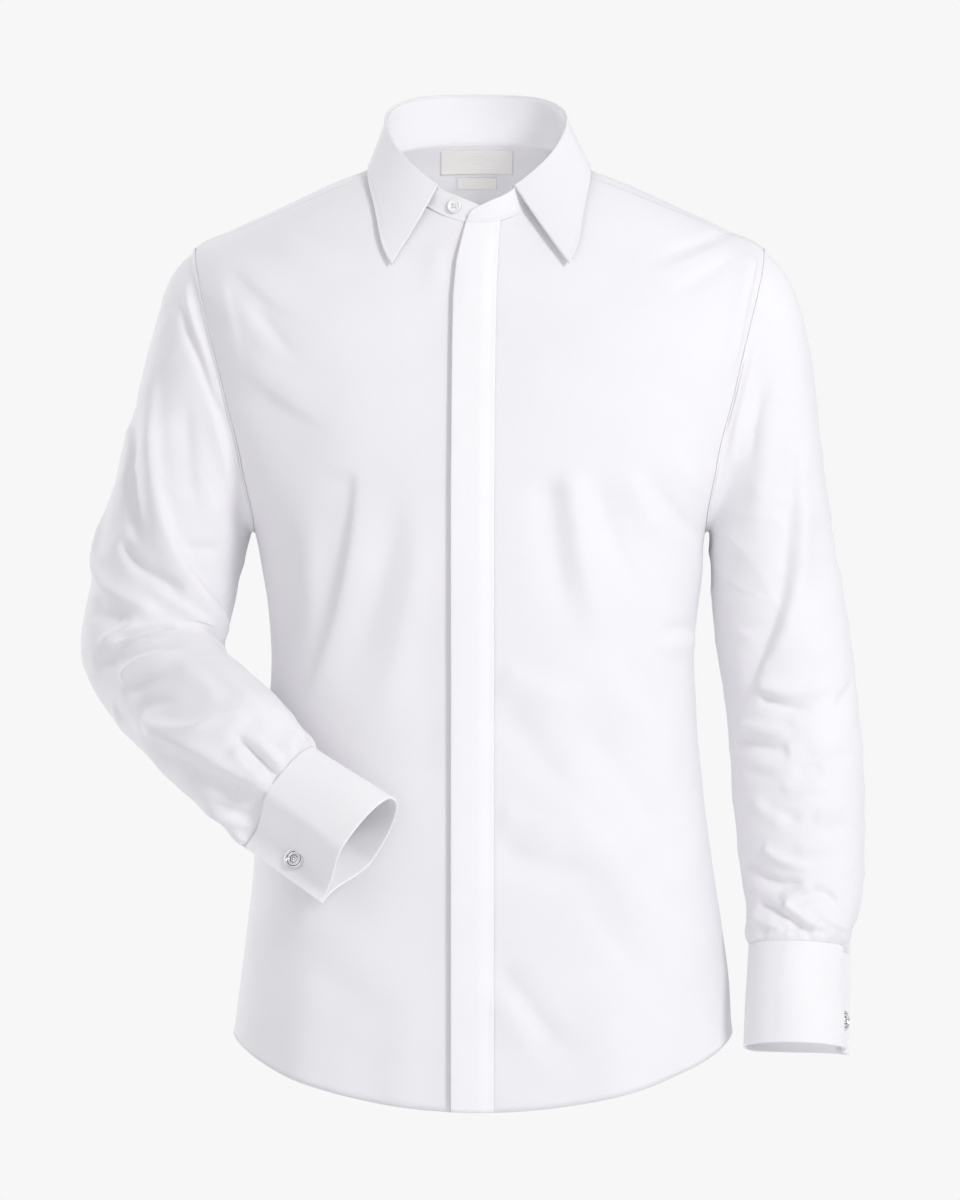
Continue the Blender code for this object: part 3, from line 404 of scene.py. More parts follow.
LEFT_BACK_CREASES = creases([
    (3.2, 9, 12, 1.9, 0.4, 0.4, (238, -130), (244, -196), (246, -262)),
    (-3.0, 9, 10, 1.9, 0.4, 0.4, (262, -156), (268, -216), (270, -280)),
    (-2.4, 9, 9, 1.9, 0.4, 0.4, (212, -196), (218, -256), (220, -312)),
    (3.0, 8, 10, 1.9, 0.3, 0.4, (206, -340), (240, -352), (282, -342)),
    (-2.8, 6, 8, 1.8, 0.3, 0.4, (204, -366), (240, -378), (286, -366)),
    (3.2, 7, 9, 1.9, 0.3, 0.4, (206, -396), (242, -406), (290, -392)),
    (-3.0, 6, 8, 1.8, 0.3, 0.4, (208, -424), (248, -436), (294, -424)),
    (2.8, 7, 8, 1.9, 0.3, 0.4, (216, -458), (252, -462), (292, -450)),
    (-2.6, 6, 7, 1.9, 0.3, 0.4, (214, -492), (250, -498), (290, -488)),
    (2.8, 7, 8, 1.9, 0.3, 0.4, (218, -524), (254, -534), (290, -524)),
    (-2.8, 5, 7, 1.8, 0.3, 0.3, (222, -560), (254, -566), (286, -556)),
    (2.6, 5, 6, 1.9, 0.3, 0.1, (236, -574), (248, -590), (258, -610)),
    (-2.6, 4, 5, 1.8, 0.3, 0.1, (262, -576), (272, -592), (280, -608)),
])


# ---------------------------------------------------------------- surfaces
def through(rows, at):
    """The rows of a table at these fractional row numbers, on a smooth curve through them."""
    rows = np.asarray(rows, float)
    at = np.asarray(at, float)
    padded = np.concatenate([2 * rows[:1] - rows[1:2], rows, 2 * rows[-1:] - rows[-2:-1]])
    low = np.clip(np.floor(at).astype(int), 0, len(rows) - 2)
    t = (at - low).reshape(at.shape + (1,) * (rows.ndim - 1))
    before, start, end, after = (padded[low + k] for k in range(4))
    return 0.5 * (
        2 * start
        + (end - before) * t
        + (2 * before - 5 * start + 4 * end - after) * t**2
        + (3 * start - before - 3 * end + after) * t**3
    )


def smooth(t):
    """0 to 1 with flat ends."""
    t = np.clip(t, 0, 1)
    return t * t * (3 - 2 * t)


def bell(x, width):
    """1 where x is 0, and down to 0 on both sides."""
    return np.exp(-((x / width) ** 2))


def unit(v):
    """The same directions with a length of one."""
    v = np.asarray(v, float)
    return v / np.maximum(np.linalg.norm(v, axis=-1, keepdims=True), 1e-9)


def body(ring, angle):
    """Points of the body. The angle is 0 at the front centre and 90 degrees at the left side."""
    ring, angle = np.broadcast_arrays(np.asarray(ring, float), np.asarray(angle, float))
    r = Ring(*np.moveaxis(through(BODY, ring), -1, 0))
    sine, cosine = np.sin(angle), np.cos(angle)
    k = (np.abs(sine) ** r.square + np.abs(cosine) ** r.square) ** (-1 / r.square)
    x = np.where(sine > 0, r.left, r.right) * sine * k
    y = -np.where(cosine > 0, r.front, r.back) * cosine * k
    rise = np.where(cosine > 0, r.z_front, r.z_back) - r.z_side
    round_off = 0.3
    share = (np.sqrt(cosine**2 + round_off**2) - round_off) / (math.hypot(1, round_off) - round_off)
    dip = np.where(cosine > 0, r.dip, r.back_dip)
    return np.stack([x, y, r.z_side + rise * share**dip], axis=-1)


def body_normal(ring, angle):
    """Unit normals of the body, pointing out."""
    step = 0.01
    down = body(np.clip(ring + step, 0, HEM), angle) - body(np.clip(ring - step, 0, HEM), angle)
    across = body(ring, angle + step) - body(ring, angle - step)
    return unit(np.cross(down, across))


def angle_at(ring, x):
    """The angle near the front centre at which the body has this X."""
    r = Ring(*np.moveaxis(through(BODY, ring), -1, 0))
    share = x / np.where(x > 0, r.left, r.right)
    return np.arctan(share / (1 - np.abs(share) ** r.square) ** (1 / r.square))


def armhole(turn, side, gap=0.0):
    """Ring number and angle round the armhole. A turn of 0 is its top, and then comes its front."""
    ring = ARMHOLE_RING - (ARMHOLE_HALF_RINGS + gap / 40) * np.cos(turn)
    spread = (ARMHOLE_HALF_ANGLE + gap / 115) * np.sin(turn)
    return ring, side * (math.pi / 2 - spread)


def grid_normals(points, closed=False):
    """Unit normals of a grid of points, on the side that rows down and columns to the left show."""
    down = np.gradient(points, axis=0)
    if closed:
        across = (np.roll(points, -1, axis=1) - np.roll(points, 1, axis=1)) / 2
    else:
        across = np.gradient(points, axis=1)
    return unit(np.cross(down, across))


# ---------------------------------------------------------------- creases
STEPS_BETWEEN_POINTS = 14
PATH_SMOOTHING = 24
TURNED_AWAY = 0.15  # the Y of a normal at which cloth stops counting as front or back
LARGEST_SHIFT = 3  # a path leaves the surface's own points by this much at most
CREASE_REACH = 2.6  # in half widths
SIDE_BLEND = 0.7  # the share of a crease's two half widths over which one turns into the other


def as_seen(points):
    """X and Z of points as the front view shows them on the plane Y = 0."""
    scale = CAMERA_DISTANCE / (CAMERA_DISTANCE + points[..., 1])
    height = CAMERA_HEIGHT + (points[..., 2] - CAMERA_HEIGHT) * scale
    return np.stack([points[..., 0] * scale, height], -1)


def laid_on(path, points, normals, front):
    """A crease's path as a smooth line on the near or far side of a surface."""
    steps = np.linspace(0, len(path) - 1, STEPS_BETWEEN_POINTS * (len(path) - 1) + 1)
    seen = through(np.array(path, float), steps)
    facing = normals[..., 1] < TURNED_AWAY if front else normals[..., 1] > -TURNED_AWAY
    points, normals = points[facing], normals[facing]
    flat = as_seen(points) if front else points[:, [0, 2]]
    nearest = np.argmin(((seen[:, None] - flat[None]) ** 2).sum(-1), axis=1)
    line, out = points[nearest], normals[nearest]
    line[:, [0, 2]] += np.clip(seen - flat[nearest], -LARGEST_SHIFT, LARGEST_SHIFT)
    for _ in range(PATH_SMOOTHING):
        line[1:-1] = (line[:-2] + 2 * line[1:-1] + line[2:]) / 4
        out[1:-1] = (out[:-2] + 2 * out[1:-1] + out[2:]) / 4
    return line, unit(out)


def crease_field(points, creases, rise=1.0, width=1.0):
    """How far each point moves out of its surface. The creases are pairs of a crease and its line."""
    flat = points.reshape(-1, 3)
    moved = np.zeros(len(flat))
    for crease, (line, out) in creases:
        reach = CREASE_REACH * max(crease.near, crease.far)
        near = ((flat > line.min(0) - reach) & (flat < line.max(0) + reach)).all(1)
        index = np.nonzero(near)[0]
        if not len(index):
            continue
        here = flat[index]
        gap = ((here[:, None] - line[None]) ** 2).sum(-1)
        nearest = gap.argmin(1)
        tangent = unit(np.gradient(line, axis=0))
        left = np.cross(out, tangent)[nearest]
        beside = ((here - line[nearest]) * left).sum(1)
        ahead = ((here - line[nearest]) * tangent[nearest]).sum(1)
        distance = np.sqrt(np.maximum(gap[np.arange(len(index)), nearest] - ahead**2, 0))
        last = len(line) - 1
        step = np.linalg.norm(np.diff(line, axis=0), axis=1).mean()
        share = (nearest + ahead / max(step, 0.1)) / last
        fade = smooth(share / crease.start) if crease.start else (share > -0.05) * 1.0
        fade = fade * (smooth((1 - share) / crease.end) if crease.end else 1.0)
        mix = smooth(0.5 + beside / (SIDE_BLEND * (crease.near + crease.far)))
        wide = width * (crease.far + (crease.near - crease.far) * mix)
        moved[index] += rise * crease.rise * fade * np.exp(-((distance / wide) ** crease.blunt))
    return moved.reshape(points.shape[:-1])


RIPPLE_WAVES = 14
WRINKLE_WAVES = 5
WRINKLE_HEIGHT = 0.75


def ripple(points, seed, height, wave):
    """Low waves in no order, so that no stretch of the cloth is quite flat."""
    draw = np.random.default_rng(seed)
    moved = np.zeros(points.shape[:-1])
    for _ in range(RIPPLE_WAVES):
        direction = unit(draw.normal(size=3) * (1, 1, 0.8))
        length = wave * draw.uniform(0.6, 1.7)
        moved += np.sin(points @ direction * (2 * math.pi / length) + draw.uniform(0, 2 * math.pi))
    return moved * height / math.sqrt(RIPPLE_WAVES)


def wrinkles(points, seed):
    """Small sharp wrinkles in patches, mostly across an arm."""
    draw = np.random.default_rng(seed + 40)
    moved = np.zeros(points.shape[:-1])
    for _ in range(WRINKLE_WAVES):
        across = unit(np.array([draw.uniform(-0.5, 0.5), draw.uniform(-0.4, 0.4), 1.0]))
        bend = unit(draw.normal(size=3))
        phase = points @ across / draw.uniform(24, 40)
        phase = phase + 0.8 * np.sin(points @ bend / 21 + draw.uniform(0, 6))
        crest = 1 - np.abs(np.sin(phase * math.pi / 2 + draw.uniform(0, 6)))
        patch = unit(draw.normal(size=3))
        where = smooth(0.5 + 0.9 * np.sin(points @ patch / 26 + draw.uniform(0, 6)))
        moved += crest**2.2 * where
    return WRINKLE_HEIGHT * moved


def lines_on(points, normals, fronts, backs):
    """Each crease of two tables with its line on a surface."""
    lines = [(crease, laid_on(crease.path, points, normals, True)) for crease in fronts]
    return lines + [(crease, laid_on(crease.path, points, normals, False)) for crease in backs]


def body_lines():
    ring = np.linspace(0, HEM, 330)[:, None]
    angle = np.radians(np.linspace(-180, 180, 420))[None]
    return lines_on(body(ring, angle), body_normal(ring, angle), BODY_FRONT_CREASES, BODY_BACK_CREASES)


BODY_LINES = body_lines()


def body_moved(points):
    """How far the body's cloth stands out of its plain surface at these points."""
    calm = smooth((-20 - points[..., 2]) / 60)
    return crease_field(points, BODY_LINES) + ripple(points, 5, 0.55, 95) * calm


def plain_body(ring, angle, lift=0.0):
    """Points of the body with no creases, moved out by lift."""
    ring, angle, lift = np.broadcast_arrays(*(np.asarray(v, float) for v in (ring, angle, lift)))
    return body(ring, angle) + lift[..., None] * body_normal(ring, angle)


def on_body(ring, angle, lift=0.0):
    """Points of the creased body, moved out by lift."""
    return plain_body(ring, angle, lift + body_moved(body(ring, angle)))


# ---------------------------------------------------------------- Blender objects
def add_object(name, mesh, finish):
    piece = bpy.data.objects.new(name, mesh)
    mesh.materials.append(finish)
    bpy.context.scene.collection.objects.link(piece)
    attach(piece, "root")
    return piece


def mesh_of(name, points, faces, uvs=None):
    mesh = bpy.data.meshes.new(name)
    mesh.from_pydata((np.asarray(points) * MM).tolist(), [], np.asarray(faces).tolist())
    if uvs is not None:
        layer = mesh.uv_layers.new(name="cloth")
        layer.data.foreach_set("uv", np.asarray(uvs, np.float32).ravel())
    mesh.shade_smooth()
    return mesh


def arc_lengths(points):
    """Lengths down the rows and along the columns of a grid, as two grids in metres."""
    down = np.linalg.norm(np.diff(points, axis=0), axis=-1)
    across = np.linalg.norm(np.diff(points, axis=1), axis=-1)
    v = np.concatenate([np.zeros((1, points.shape[1])), np.cumsum(down, 0)]) * MM
    u = np.concatenate([np.zeros((points.shape[0], 1)), np.cumsum(across, 1)], 1) * MM
    return u - u.mean(1, keepdims=True), v


def cloth(name, points, wall, finish, closed=False, flip=False):
    """A sheet of cloth from a grid of points on its outer face, as an open surface with Solidify."""
    rows, columns = points.shape[:2]
    looped = np.concatenate([points, points[:, :1]], 1) if closed else points
    u, v = arc_lengths(looped)
    r, c = np.meshgrid(np.arange(rows - 1), np.arange(looped.shape[1] - 1), indexing="ij")
    corners = [(r, c), (r + 1, c), (r + 1, c + 1), (r, c + 1)]
    if flip:
        corners = corners[::-1]
    faces = np.stack([a * columns + b % columns for a, b in corners], -1).reshape(-1, 4)
    uvs = np.stack([np.stack([u[a, b], v[a, b]], -1) for a, b in corners], -2).reshape(-1, 2)
    piece = add_object(name, mesh_of(name, points.reshape(-1, 3), faces, uvs), finish)
    solidify = piece.modifiers.new("wall", "SOLIDIFY")
    solidify.thickness = wall * MM
    solidify.offset = -1
    return piece


def sampled(grid, row, column):
    """A grid at fractional rows and columns."""
    row, column = np.broadcast_arrays(np.asarray(row, float), np.asarray(column, float))
    r = np.clip(row.astype(int), 0, grid.shape[0] - 2)
    c = np.clip(column.astype(int), 0, grid.shape[1] - 2)
    s, t = (row - r)[..., None], (column - c)[..., None]
    above = (1 - t) * grid[r, c] + t * grid[r, c + 1]
    below = (1 - t) * grid[r + 1, c] + t * grid[r + 1, c + 1]
    return (1 - s) * above + s * below


STITCH_STEP = 2.9
STITCH_LENGTH = 2.0
STITCH_WIDTH = 0.42
STITCH_RISE = 0.16
STITCH_SINK = 0.12  # how far its ends go into the cloth
STITCH_CROWN = 0.06  # its middle line over its two edges
STITCH_EDGE = 0.1


def stitches(name, lines, finish):
    """Rows of machine stitches along lines, each a pair of points and normals, joined as one mesh."""
    points, faces = [], []
    for line, normals in lines:
        steps = np.concatenate([[0], np.cumsum(np.linalg.norm(np.diff(line, axis=0), axis=1))])
        starts = np.arange(STITCH_STEP / 2, steps[-1] - STITCH_STEP, STITCH_STEP)
        for start in starts:
            ends = start + np.array([0, STITCH_LENGTH / 2, STITCH_LENGTH])
            spine = np.stack([np.interp(ends, steps, line[:, k]) for k in range(3)], 1)
            out = unit([np.interp(start, steps, normals[:, k]) for k in range(3)])
            along = unit(spine[2] - spine[0])
            beside = np.cross(out, along) * STITCH_WIDTH / 2
            base = len(points)
            for middle, high in zip(spine, (-STITCH_SINK, STITCH_RISE, -STITCH_SINK)):
                ridge = middle + high * out + STITCH_CROWN * out
                low = STITCH_EDGE * out
                points += [middle + beside - low, ridge, middle - beside - low]
            for k in (0, 3):
                a = base + k
                faces += [(a, a + 1, a + 4, a + 3), (a + 1, a + 2, a + 5, a + 4)]
    return add_object(name, mesh_of(name, points, faces), finish)


def ring_points(radius, height, turn):
    """Rings of points round Z, one for each radius and its height."""
    radius, height = radius[:, None], height[:, None] + 0 * turn
    return np.stack([radius * np.cos(turn), radius * np.sin(turn), height], -1)


def turned(name, profile, finish, steps=64):
    """A piece turned about its own Z from a profile of radius and height, top to bottom."""
    turn = np.linspace(0, 2 * math.pi, steps, endpoint=False)
    radius, height = np.array(profile, float).T
    points = ring_points(radius, height, turn)
    shell = bmesh.new()
    rings = []
    for ring, r in zip(points, radius):
        if r < 1e-6:
            rings.append([shell.verts.new(Vector(ring[0]) * MM)] * steps)
        else:
            rings.append([shell.verts.new(Vector(p) * MM) for p in ring])
    for above, below in zip(rings, rings[1:]):
        for j in range(steps):
            k = (j + 1) % steps
            corners = list(dict.fromkeys([above[j], below[j], below[k], above[k]]))
            if len(corners) > 2:
                shell.faces.new(corners)
    mesh = bpy.data.meshes.new(name)
    shell.to_mesh(mesh)
    shell.free()
    mesh.shade_smooth()
    mesh.set_sharp_from_angle(angle=math.radians(40))
    return add_object(name, mesh, finish)


def place(piece, middle, outward):
    """Puts a piece at a point in millimetres, with its Z pointing outward."""
    piece.matrix_world = Matrix.Translation(Vector(middle) * MM) @ (
        Vector(outward).to_track_quat("Z", "X").to_matrix().to_4x4()
    )
    return piece


# ---------------------------------------------------------------- materials
class Nodes:
    """Makes the nodes of one material, joined by plain calls."""

    def __init__(self, name, roughness, metallic=0.0):
        self.material = bpy.data.materials.new(name)
        self.material.use_nodes = True
        self.tree = self.material.node_tree
        self.shader = self.tree.nodes["Principled BSDF"]
        self.shader.inputs["Roughness"].default_value = roughness
        self.shader.inputs["Metallic"].default_value = metallic

    def add(self, kind, settings=(), **inputs):
        node = self.tree.nodes.new(kind)
        for key, value in dict(settings).items():
            setattr(node, key, value)
        for key, value in inputs.items():
            socket = node.inputs[int(key[1:])] if key[0] == "i" and key[1:].isdigit() else node.inputs[key]
            if hasattr(value, "links"):
                self.tree.links.new(value, socket)
            else:
                socket.default_value = value
        return node

    def ramp(self, value, low, high, dark, light):
        node = self.add("ShaderNodeValToRGB", i0=value)
        node.color_ramp.elements[0].position = low
        node.color_ramp.elements[1].position = high
        node.color_ramp.elements[0].color = (*dark, 1)
        node.color_ramp.elements[1].color = (*light, 1)
        return node.outputs["Color"]

    def math(self, operation, a, b=0.0):
        return self.add("ShaderNodeMath", {"operation": operation}, i0=a, i1=b).outputs[0]

    def bump(self, height, strength, distance, before=None):
        node = self.add("ShaderNodeBump", Strength=strength, Distance=distance, Height=height)
        if before is not None:
            self.tree.links.new(before, node.inputs["Normal"])
        return node.outputs["Normal"]

    def into(self, socket, value):
        self.tree.links.new(value, self.shader.inputs[socket])

    def rough_between(self, value, low, high):
        self.into("Roughness", self.add("ShaderNodeMapRange", Value=value, i3=low, i4=high).outputs[0])


WHITE = (0.875, 0.868, 0.89)
CRISP = (0.90, 0.895, 0.91)
# painted light: the shirting of the fronts made lighter, so the fly shows brighter than the fronts beside
# it
FLY_LIT_WHITE = (0.93, 0.925, 0.94)
# painted shade: the shirting made greyer for the collar leaf, to darken it as if it lay in more shade
LEAF_SHADED_WHITE = (0.87, 0.865, 0.885)
FINE_TWILL = 0.3
WEAVE = 0.0007  # metres from one rib of the twill to the next
LABEL_WEAVE = 0.0006
WAVE_FACTOR = 20  # the wave texture's own factor on its scale
COTTON_ROUGHNESS = 0.82
MOTTLE = 0.55  # share of the finer of two uneven tones


def wave_scale(width):
    return 2 * math.pi / (WAVE_FACTOR * width)


def cotton(name, tint, twill=0.5):
    """Fine white cotton twill: diagonal ribs, with painted shade darkening the grooves between them, a
    little slub, faint unevenness of tone.
    """
    n = Nodes(name, COTTON_ROUGHNESS)
    coordinates = n.add("ShaderNodeTexCoord")
    uv = coordinates.outputs["UV"]
    ribs = []
    for angle, share in ((math.radians(63), 1.0), (math.radians(-20), twill)):
        turned_uv = n.add("ShaderNodeMapping", Vector=uv, Rotation=(0, 0, angle))
        wave = n.add(
            "ShaderNodeTexWave",
            {"wave_type": "BANDS", "bands_direction": "X", "wave_profile": "SIN"},
            Vector=turned_uv.outputs[0],
            Scale=wave_scale(WEAVE),
            Distortion=0.6,
            Detail=1.0,
        )
        ribs.append(n.math("MULTIPLY", wave.outputs["Fac"], share))
    thread = n.math("ADD", *ribs)
    slub = n.add("ShaderNodeTexNoise", Vector=uv, Scale=420.0, Detail=3.0, Roughness=0.6)
    soft = n.add("ShaderNodeTexNoise", Vector=coordinates.outputs["Object"], Scale=16.0, Detail=4.0)
    broad = n.add("ShaderNodeTexNoise", Vector=coordinates.outputs["Object"], Scale=5.0, Detail=2.0)
    fine_tone = n.math("MULTIPLY", soft.outputs["Fac"], MOTTLE)
    tone = n.math("ADD", fine_tone, n.math("MULTIPLY", broad.outputs["Fac"], 1 - MOTTLE))
    dark = tuple(0.965 * c for c in tint)
    base = n.ramp(tone, 0.32, 0.66, dark, tint)
    # painted shade: the colour darkens where the ribs' height is low, in the grooves between them
    rib_shade = n.ramp(thread, 0.1, 1.2, (0.955, 0.955, 0.965), (1, 1, 1))
    colour = n.add(
        "ShaderNodeMix", {"data_type": "RGBA", "blend_type": "MULTIPLY"}, i0=1.0, i6=base, i7=rib_shade
    )
    n.into("Base Color", colour.outputs[2])
    n.rough_between(slub.outputs["Fac"], COTTON_ROUGHNESS - 0.06, COTTON_ROUGHNESS + 0.08)
    fine = n.bump(thread, 0.35, 0.00006)
    lumpy = n.bump(slub.outputs["Fac"], 0.18, 0.0001, fine)
    n.into("Normal", n.bump(soft.outputs["Fac"], 0.12, 0.0012, lumpy))
    n.shader.inputs["Sheen Weight"].default_value = 0.18
    n.shader.inputs["Sheen Roughness"].default_value = 0.45
    n.shader.inputs["Specular IOR Level"].default_value = 0.32
    return n.material


def speckled(name, roughness, scale, dark, light, bump=None, **noise_settings):
    """A plain finish with a fine change of tone, and of height where bump gives its two sizes."""
    n = Nodes(name, roughness)
    place_on = n.add("ShaderNodeTexCoord").outputs["Object"]
    noise = n.add("ShaderNodeTexNoise", Vector=place_on, Scale=scale, **noise_settings).outputs["Fac"]
    n.into("Base Color", n.ramp(noise, 0.3, 0.7, dark, light))
    if bump:
        n.into("Normal", n.bump(noise, *bump))
    return n


def pearl_finish(name):
    dark, light = (0.84, 0.84, 0.86), (0.93, 0.93, 0.92)
    n = speckled(name, 0.22, 260.0, dark, light, (0.08, 0.0002), Detail=3.0, Distortion=1.4)
    n.shader.inputs["Coat Weight"].default_value = 0.4
    n.shader.inputs["Coat Roughness"].default_value = 0.12
    return n.material


def silver_finish(name, tint, roughness, shaded_rings=()):
    """Polished silver, painted nearly black between each pair of radii from the piece's own Z: painted
    shade in the grooves of the link's face, and a painted dark reflection on its dome.
    """
    n = Nodes(name, roughness, 1.0)
    place_on = n.add("ShaderNodeTexCoord").outputs["Object"]
    brushed = n.add("ShaderNodeTexNoise", Vector=place_on, Scale=1400.0, Detail=2.0)
    colour = n.ramp(brushed.outputs["Fac"], 0.3, 0.7, tuple(0.88 * c for c in tint), tint)
    flat = n.add("ShaderNodeVectorMath", {"operation": "MULTIPLY"}, i0=place_on, i1=(1, 1, 0))
    radius = n.add("ShaderNodeVectorMath", {"operation": "LENGTH"}, i0=flat.outputs[0]).outputs["Value"]
    for inner, outer in shaded_rings:
        gap = n.math("ABSOLUTE", n.math("SUBTRACT", radius, (inner + outer) / 2 * MM))
        inside = n.math("LESS_THAN", gap, (outer - inner) / 2 * MM)
        # painted shade and painted reflection: the ring is coloured nearly black
        mix = n.add("ShaderNodeMix", {"data_type": "RGBA"}, i0=inside, i6=colour, i7=(0.05, 0.05, 0.06, 1))
        colour = mix.outputs[2]
    n.into("Base Color", colour)
    n.rough_between(brushed.outputs["Fac"], roughness - 0.05, roughness + 0.1)
    n.into("Normal", n.bump(brushed.outputs["Fac"], 0.06, 0.00005))
    return n.material


def woven_label_finish(name, tint):
    """Satin weave, close ribs across the label, with painted shade darkening the grooves between them."""
    n = Nodes(name, 0.5)
    uv = n.add("ShaderNodeTexCoord").outputs["UV"]
    ribs = n.add(
        "ShaderNodeTexWave",
        {"wave_type": "BANDS", "bands_direction": "Y"},
        Vector=uv,
        Scale=wave_scale(LABEL_WEAVE),
        Distortion=0.8,
    )
    # painted shade: darker where the ribs' height is low
    n.into("Base Color", n.ramp(ribs.outputs["Fac"], 0.0, 1.0, tuple(0.93 * c for c in tint), tint))
    n.into("Normal", n.bump(ribs.outputs["Fac"], 0.4, 0.0001))
    n.shader.inputs["Sheen Weight"].default_value = 0.3
    return n.material


# ---------------------------------------------------------------- body pieces
FRONT_SEAM_ROWS = 54
FRONT_ROWS = (78, 108)  # beside the armhole and below it
FRONT_COLUMNS = 96
BACK_ROWS = (74, 112)
BACK_COLUMNS = 170
YOKE_COLUMNS = 190
YOKE_SEAM_COLUMNS = 60


def body_rows(first_turn, beside_count, below_count):
    """Ring numbers along the armhole from a turn below its top, then down to the hem."""
    turn = math.pi - (math.pi - first_turn) * np.linspace(1, 0, beside_count) ** 0.7
    beside = armhole(turn, 1)[0]
    below = beside[-1] + (HEM - beside[-1]) * np.linspace(0, 1, below_count + 1)[1:]
    return turn, beside, below


def front_seam(share, side):
    """The front yoke seam from neckline (0) to armhole (1)."""
    ring, angle = armhole(YOKE_FRONT_TURN, side, SEAM)
    neck = side * YOKE_NECK_ANGLE
    return share * ring, neck + share * (angle - neck)


def fly_columns(heights, column):
    """X of the fly's free edge (column 1) or its sewn edge (column 2) at these heights."""
    fly = np.array(FLY)[::-1]
    return np.interp(heights, fly[:, 0], fly[:, column])


def front_grid(side, edge_column):
    """Ring numbers and angles of one front's grid."""
    turn, _, below = body_rows(YOKE_FRONT_TURN, *FRONT_ROWS)
    top_ring, top_angle = front_seam(np.linspace(0, 1, FRONT_SEAM_ROWS)[:-1], side)
    hole_ring, hole_angle = armhole(turn, side, SEAM)
    rings = np.concatenate([top_ring, hole_ring, below])
    outer = np.concatenate([top_angle, hole_angle, np.full(len(below), side * math.pi / 2)])
    outer -= side * SEAM / through(BODY, rings)[:, 0]
    inner = angle_at(rings, fly_columns(body(rings, 0.0)[:, 2], edge_column))
    share = np.linspace(0, 1, FRONT_COLUMNS) ** 1.05
    return np.repeat(rings[:, None], len(share), 1), inner[:, None] + (outer - inner)[:, None] * share


def hem_turn(points):
    """The turned hem: the cloth stands out over its last few millimetres, with a groove where it
    is sewn."""
    v = arc_lengths(points)[1] / MM
    from_hem = v[-1] - v
    groove = HEM_GROOVE * bell(from_hem - HEM_DEPTH, 0.7)
    return HEM_RISE * smooth((HEM_DEPTH + 0.6 - from_hem) / 0.9) - groove


def outwards(points, flip=False):
    return grid_normals(points) * (-1 if flip else 1)


def front_panel(word, side, edge_column, dip):
    """One front. Where it dips under the fly, it comes up to the body's surface beside it."""
    rings, angles = front_grid(side, edge_column)
    x = body(rings, angles)[..., 0]
    points = on_body(rings, angles, -dip * smooth((x - UNDER_FROM) / UNDER_WIDTH))
    points = points + hem_turn(points)[..., None] * outwards(points, side < 0)
    finish = cotton("front_%s_cotton" % word, WHITE)
    piece = cloth("front_%s_cloth" % word, points, SHIRTING, finish, flip=side < 0)
    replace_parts(piece, "front_" + word)
    return points


def fly_placket(finish):
    """The strip that hides the buttons, folded under at its free edge and sewn down at the other."""
    rings = np.concatenate([FLY_TOP_RINGS[:1], np.linspace(FLY_TOP_RINGS[1], HEM, FLY_ROWS)])
    heights = body(rings, 0.0)[:, 2]
    edge, stitch = fly_columns(heights, 1)[:, None], fly_columns(heights, 2)[:, None]
    on_top = np.linspace(0, 1, 26) ** 1.1
    turned_share, turned_rise = np.array(FLY_TURN).T
    share = np.concatenate([turned_share, on_top])
    under = np.concatenate([turned_rise, 0 * on_top])
    x = edge + (stitch - edge) * share
    puff = FLY_LIFT * smooth(0.1 + rings / 1.6)[:, None]
    rise = FLY_BASE + 0 * x + puff * (1 - smooth((share - 0.62) / 0.38))
    rise = rise + under - 0.5 * bell(share, 0.02) * (under == 0)
    for tack in FLY_TACKS:
        away = np.hypot((x - FLY_TACK_X) / 9, (heights[:, None] - tack) / 7)
        rise = rise - FLY_TACK_DEPTH * bell(away, 1) * (under == 0)
    # a shallow welt along the seam
    rise = rise + 0.22 * bell(x - stitch + FLY_STITCH, 1.1) * (under == 0)
    angles = angle_at(np.repeat(rings[:, None], len(share), 1), x)
    points = on_body(rings[:, None], angles, rise)
    return cloth("fly_placket_cloth", points, FLY_CLOTH, finish), points


def back_seam(share):
    """The back yoke seam from the left armhole (0) to the right one (1)."""
    ring, angle = armhole(-YOKE_BACK_TURN, 1, SEAM)
    return ring, angle + share * (2 * math.pi - 2 * angle)


def back_panel(finish):
    turn, _, below = body_rows(YOKE_BACK_TURN, *BACK_ROWS)
    hole_ring, hole_angle = armhole(-turn, 1, SEAM)
    rings = np.concatenate([hole_ring, below])
    rings[0] += SEAM / 34
    left = np.concatenate([hole_angle, np.full(len(below), math.pi / 2)])
    left += SEAM / through(BODY, rings)[:, 0]
    share = np.linspace(0, 1, BACK_COLUMNS)
    angles = left[:, None] + (2 * math.pi - 2 * left)[:, None] * share
    points = on_body(rings[:, None], angles)
    points = points + hem_turn(points)[..., None] * outwards(points)
    return cloth("back_cloth", points, SHIRTING, finish), points


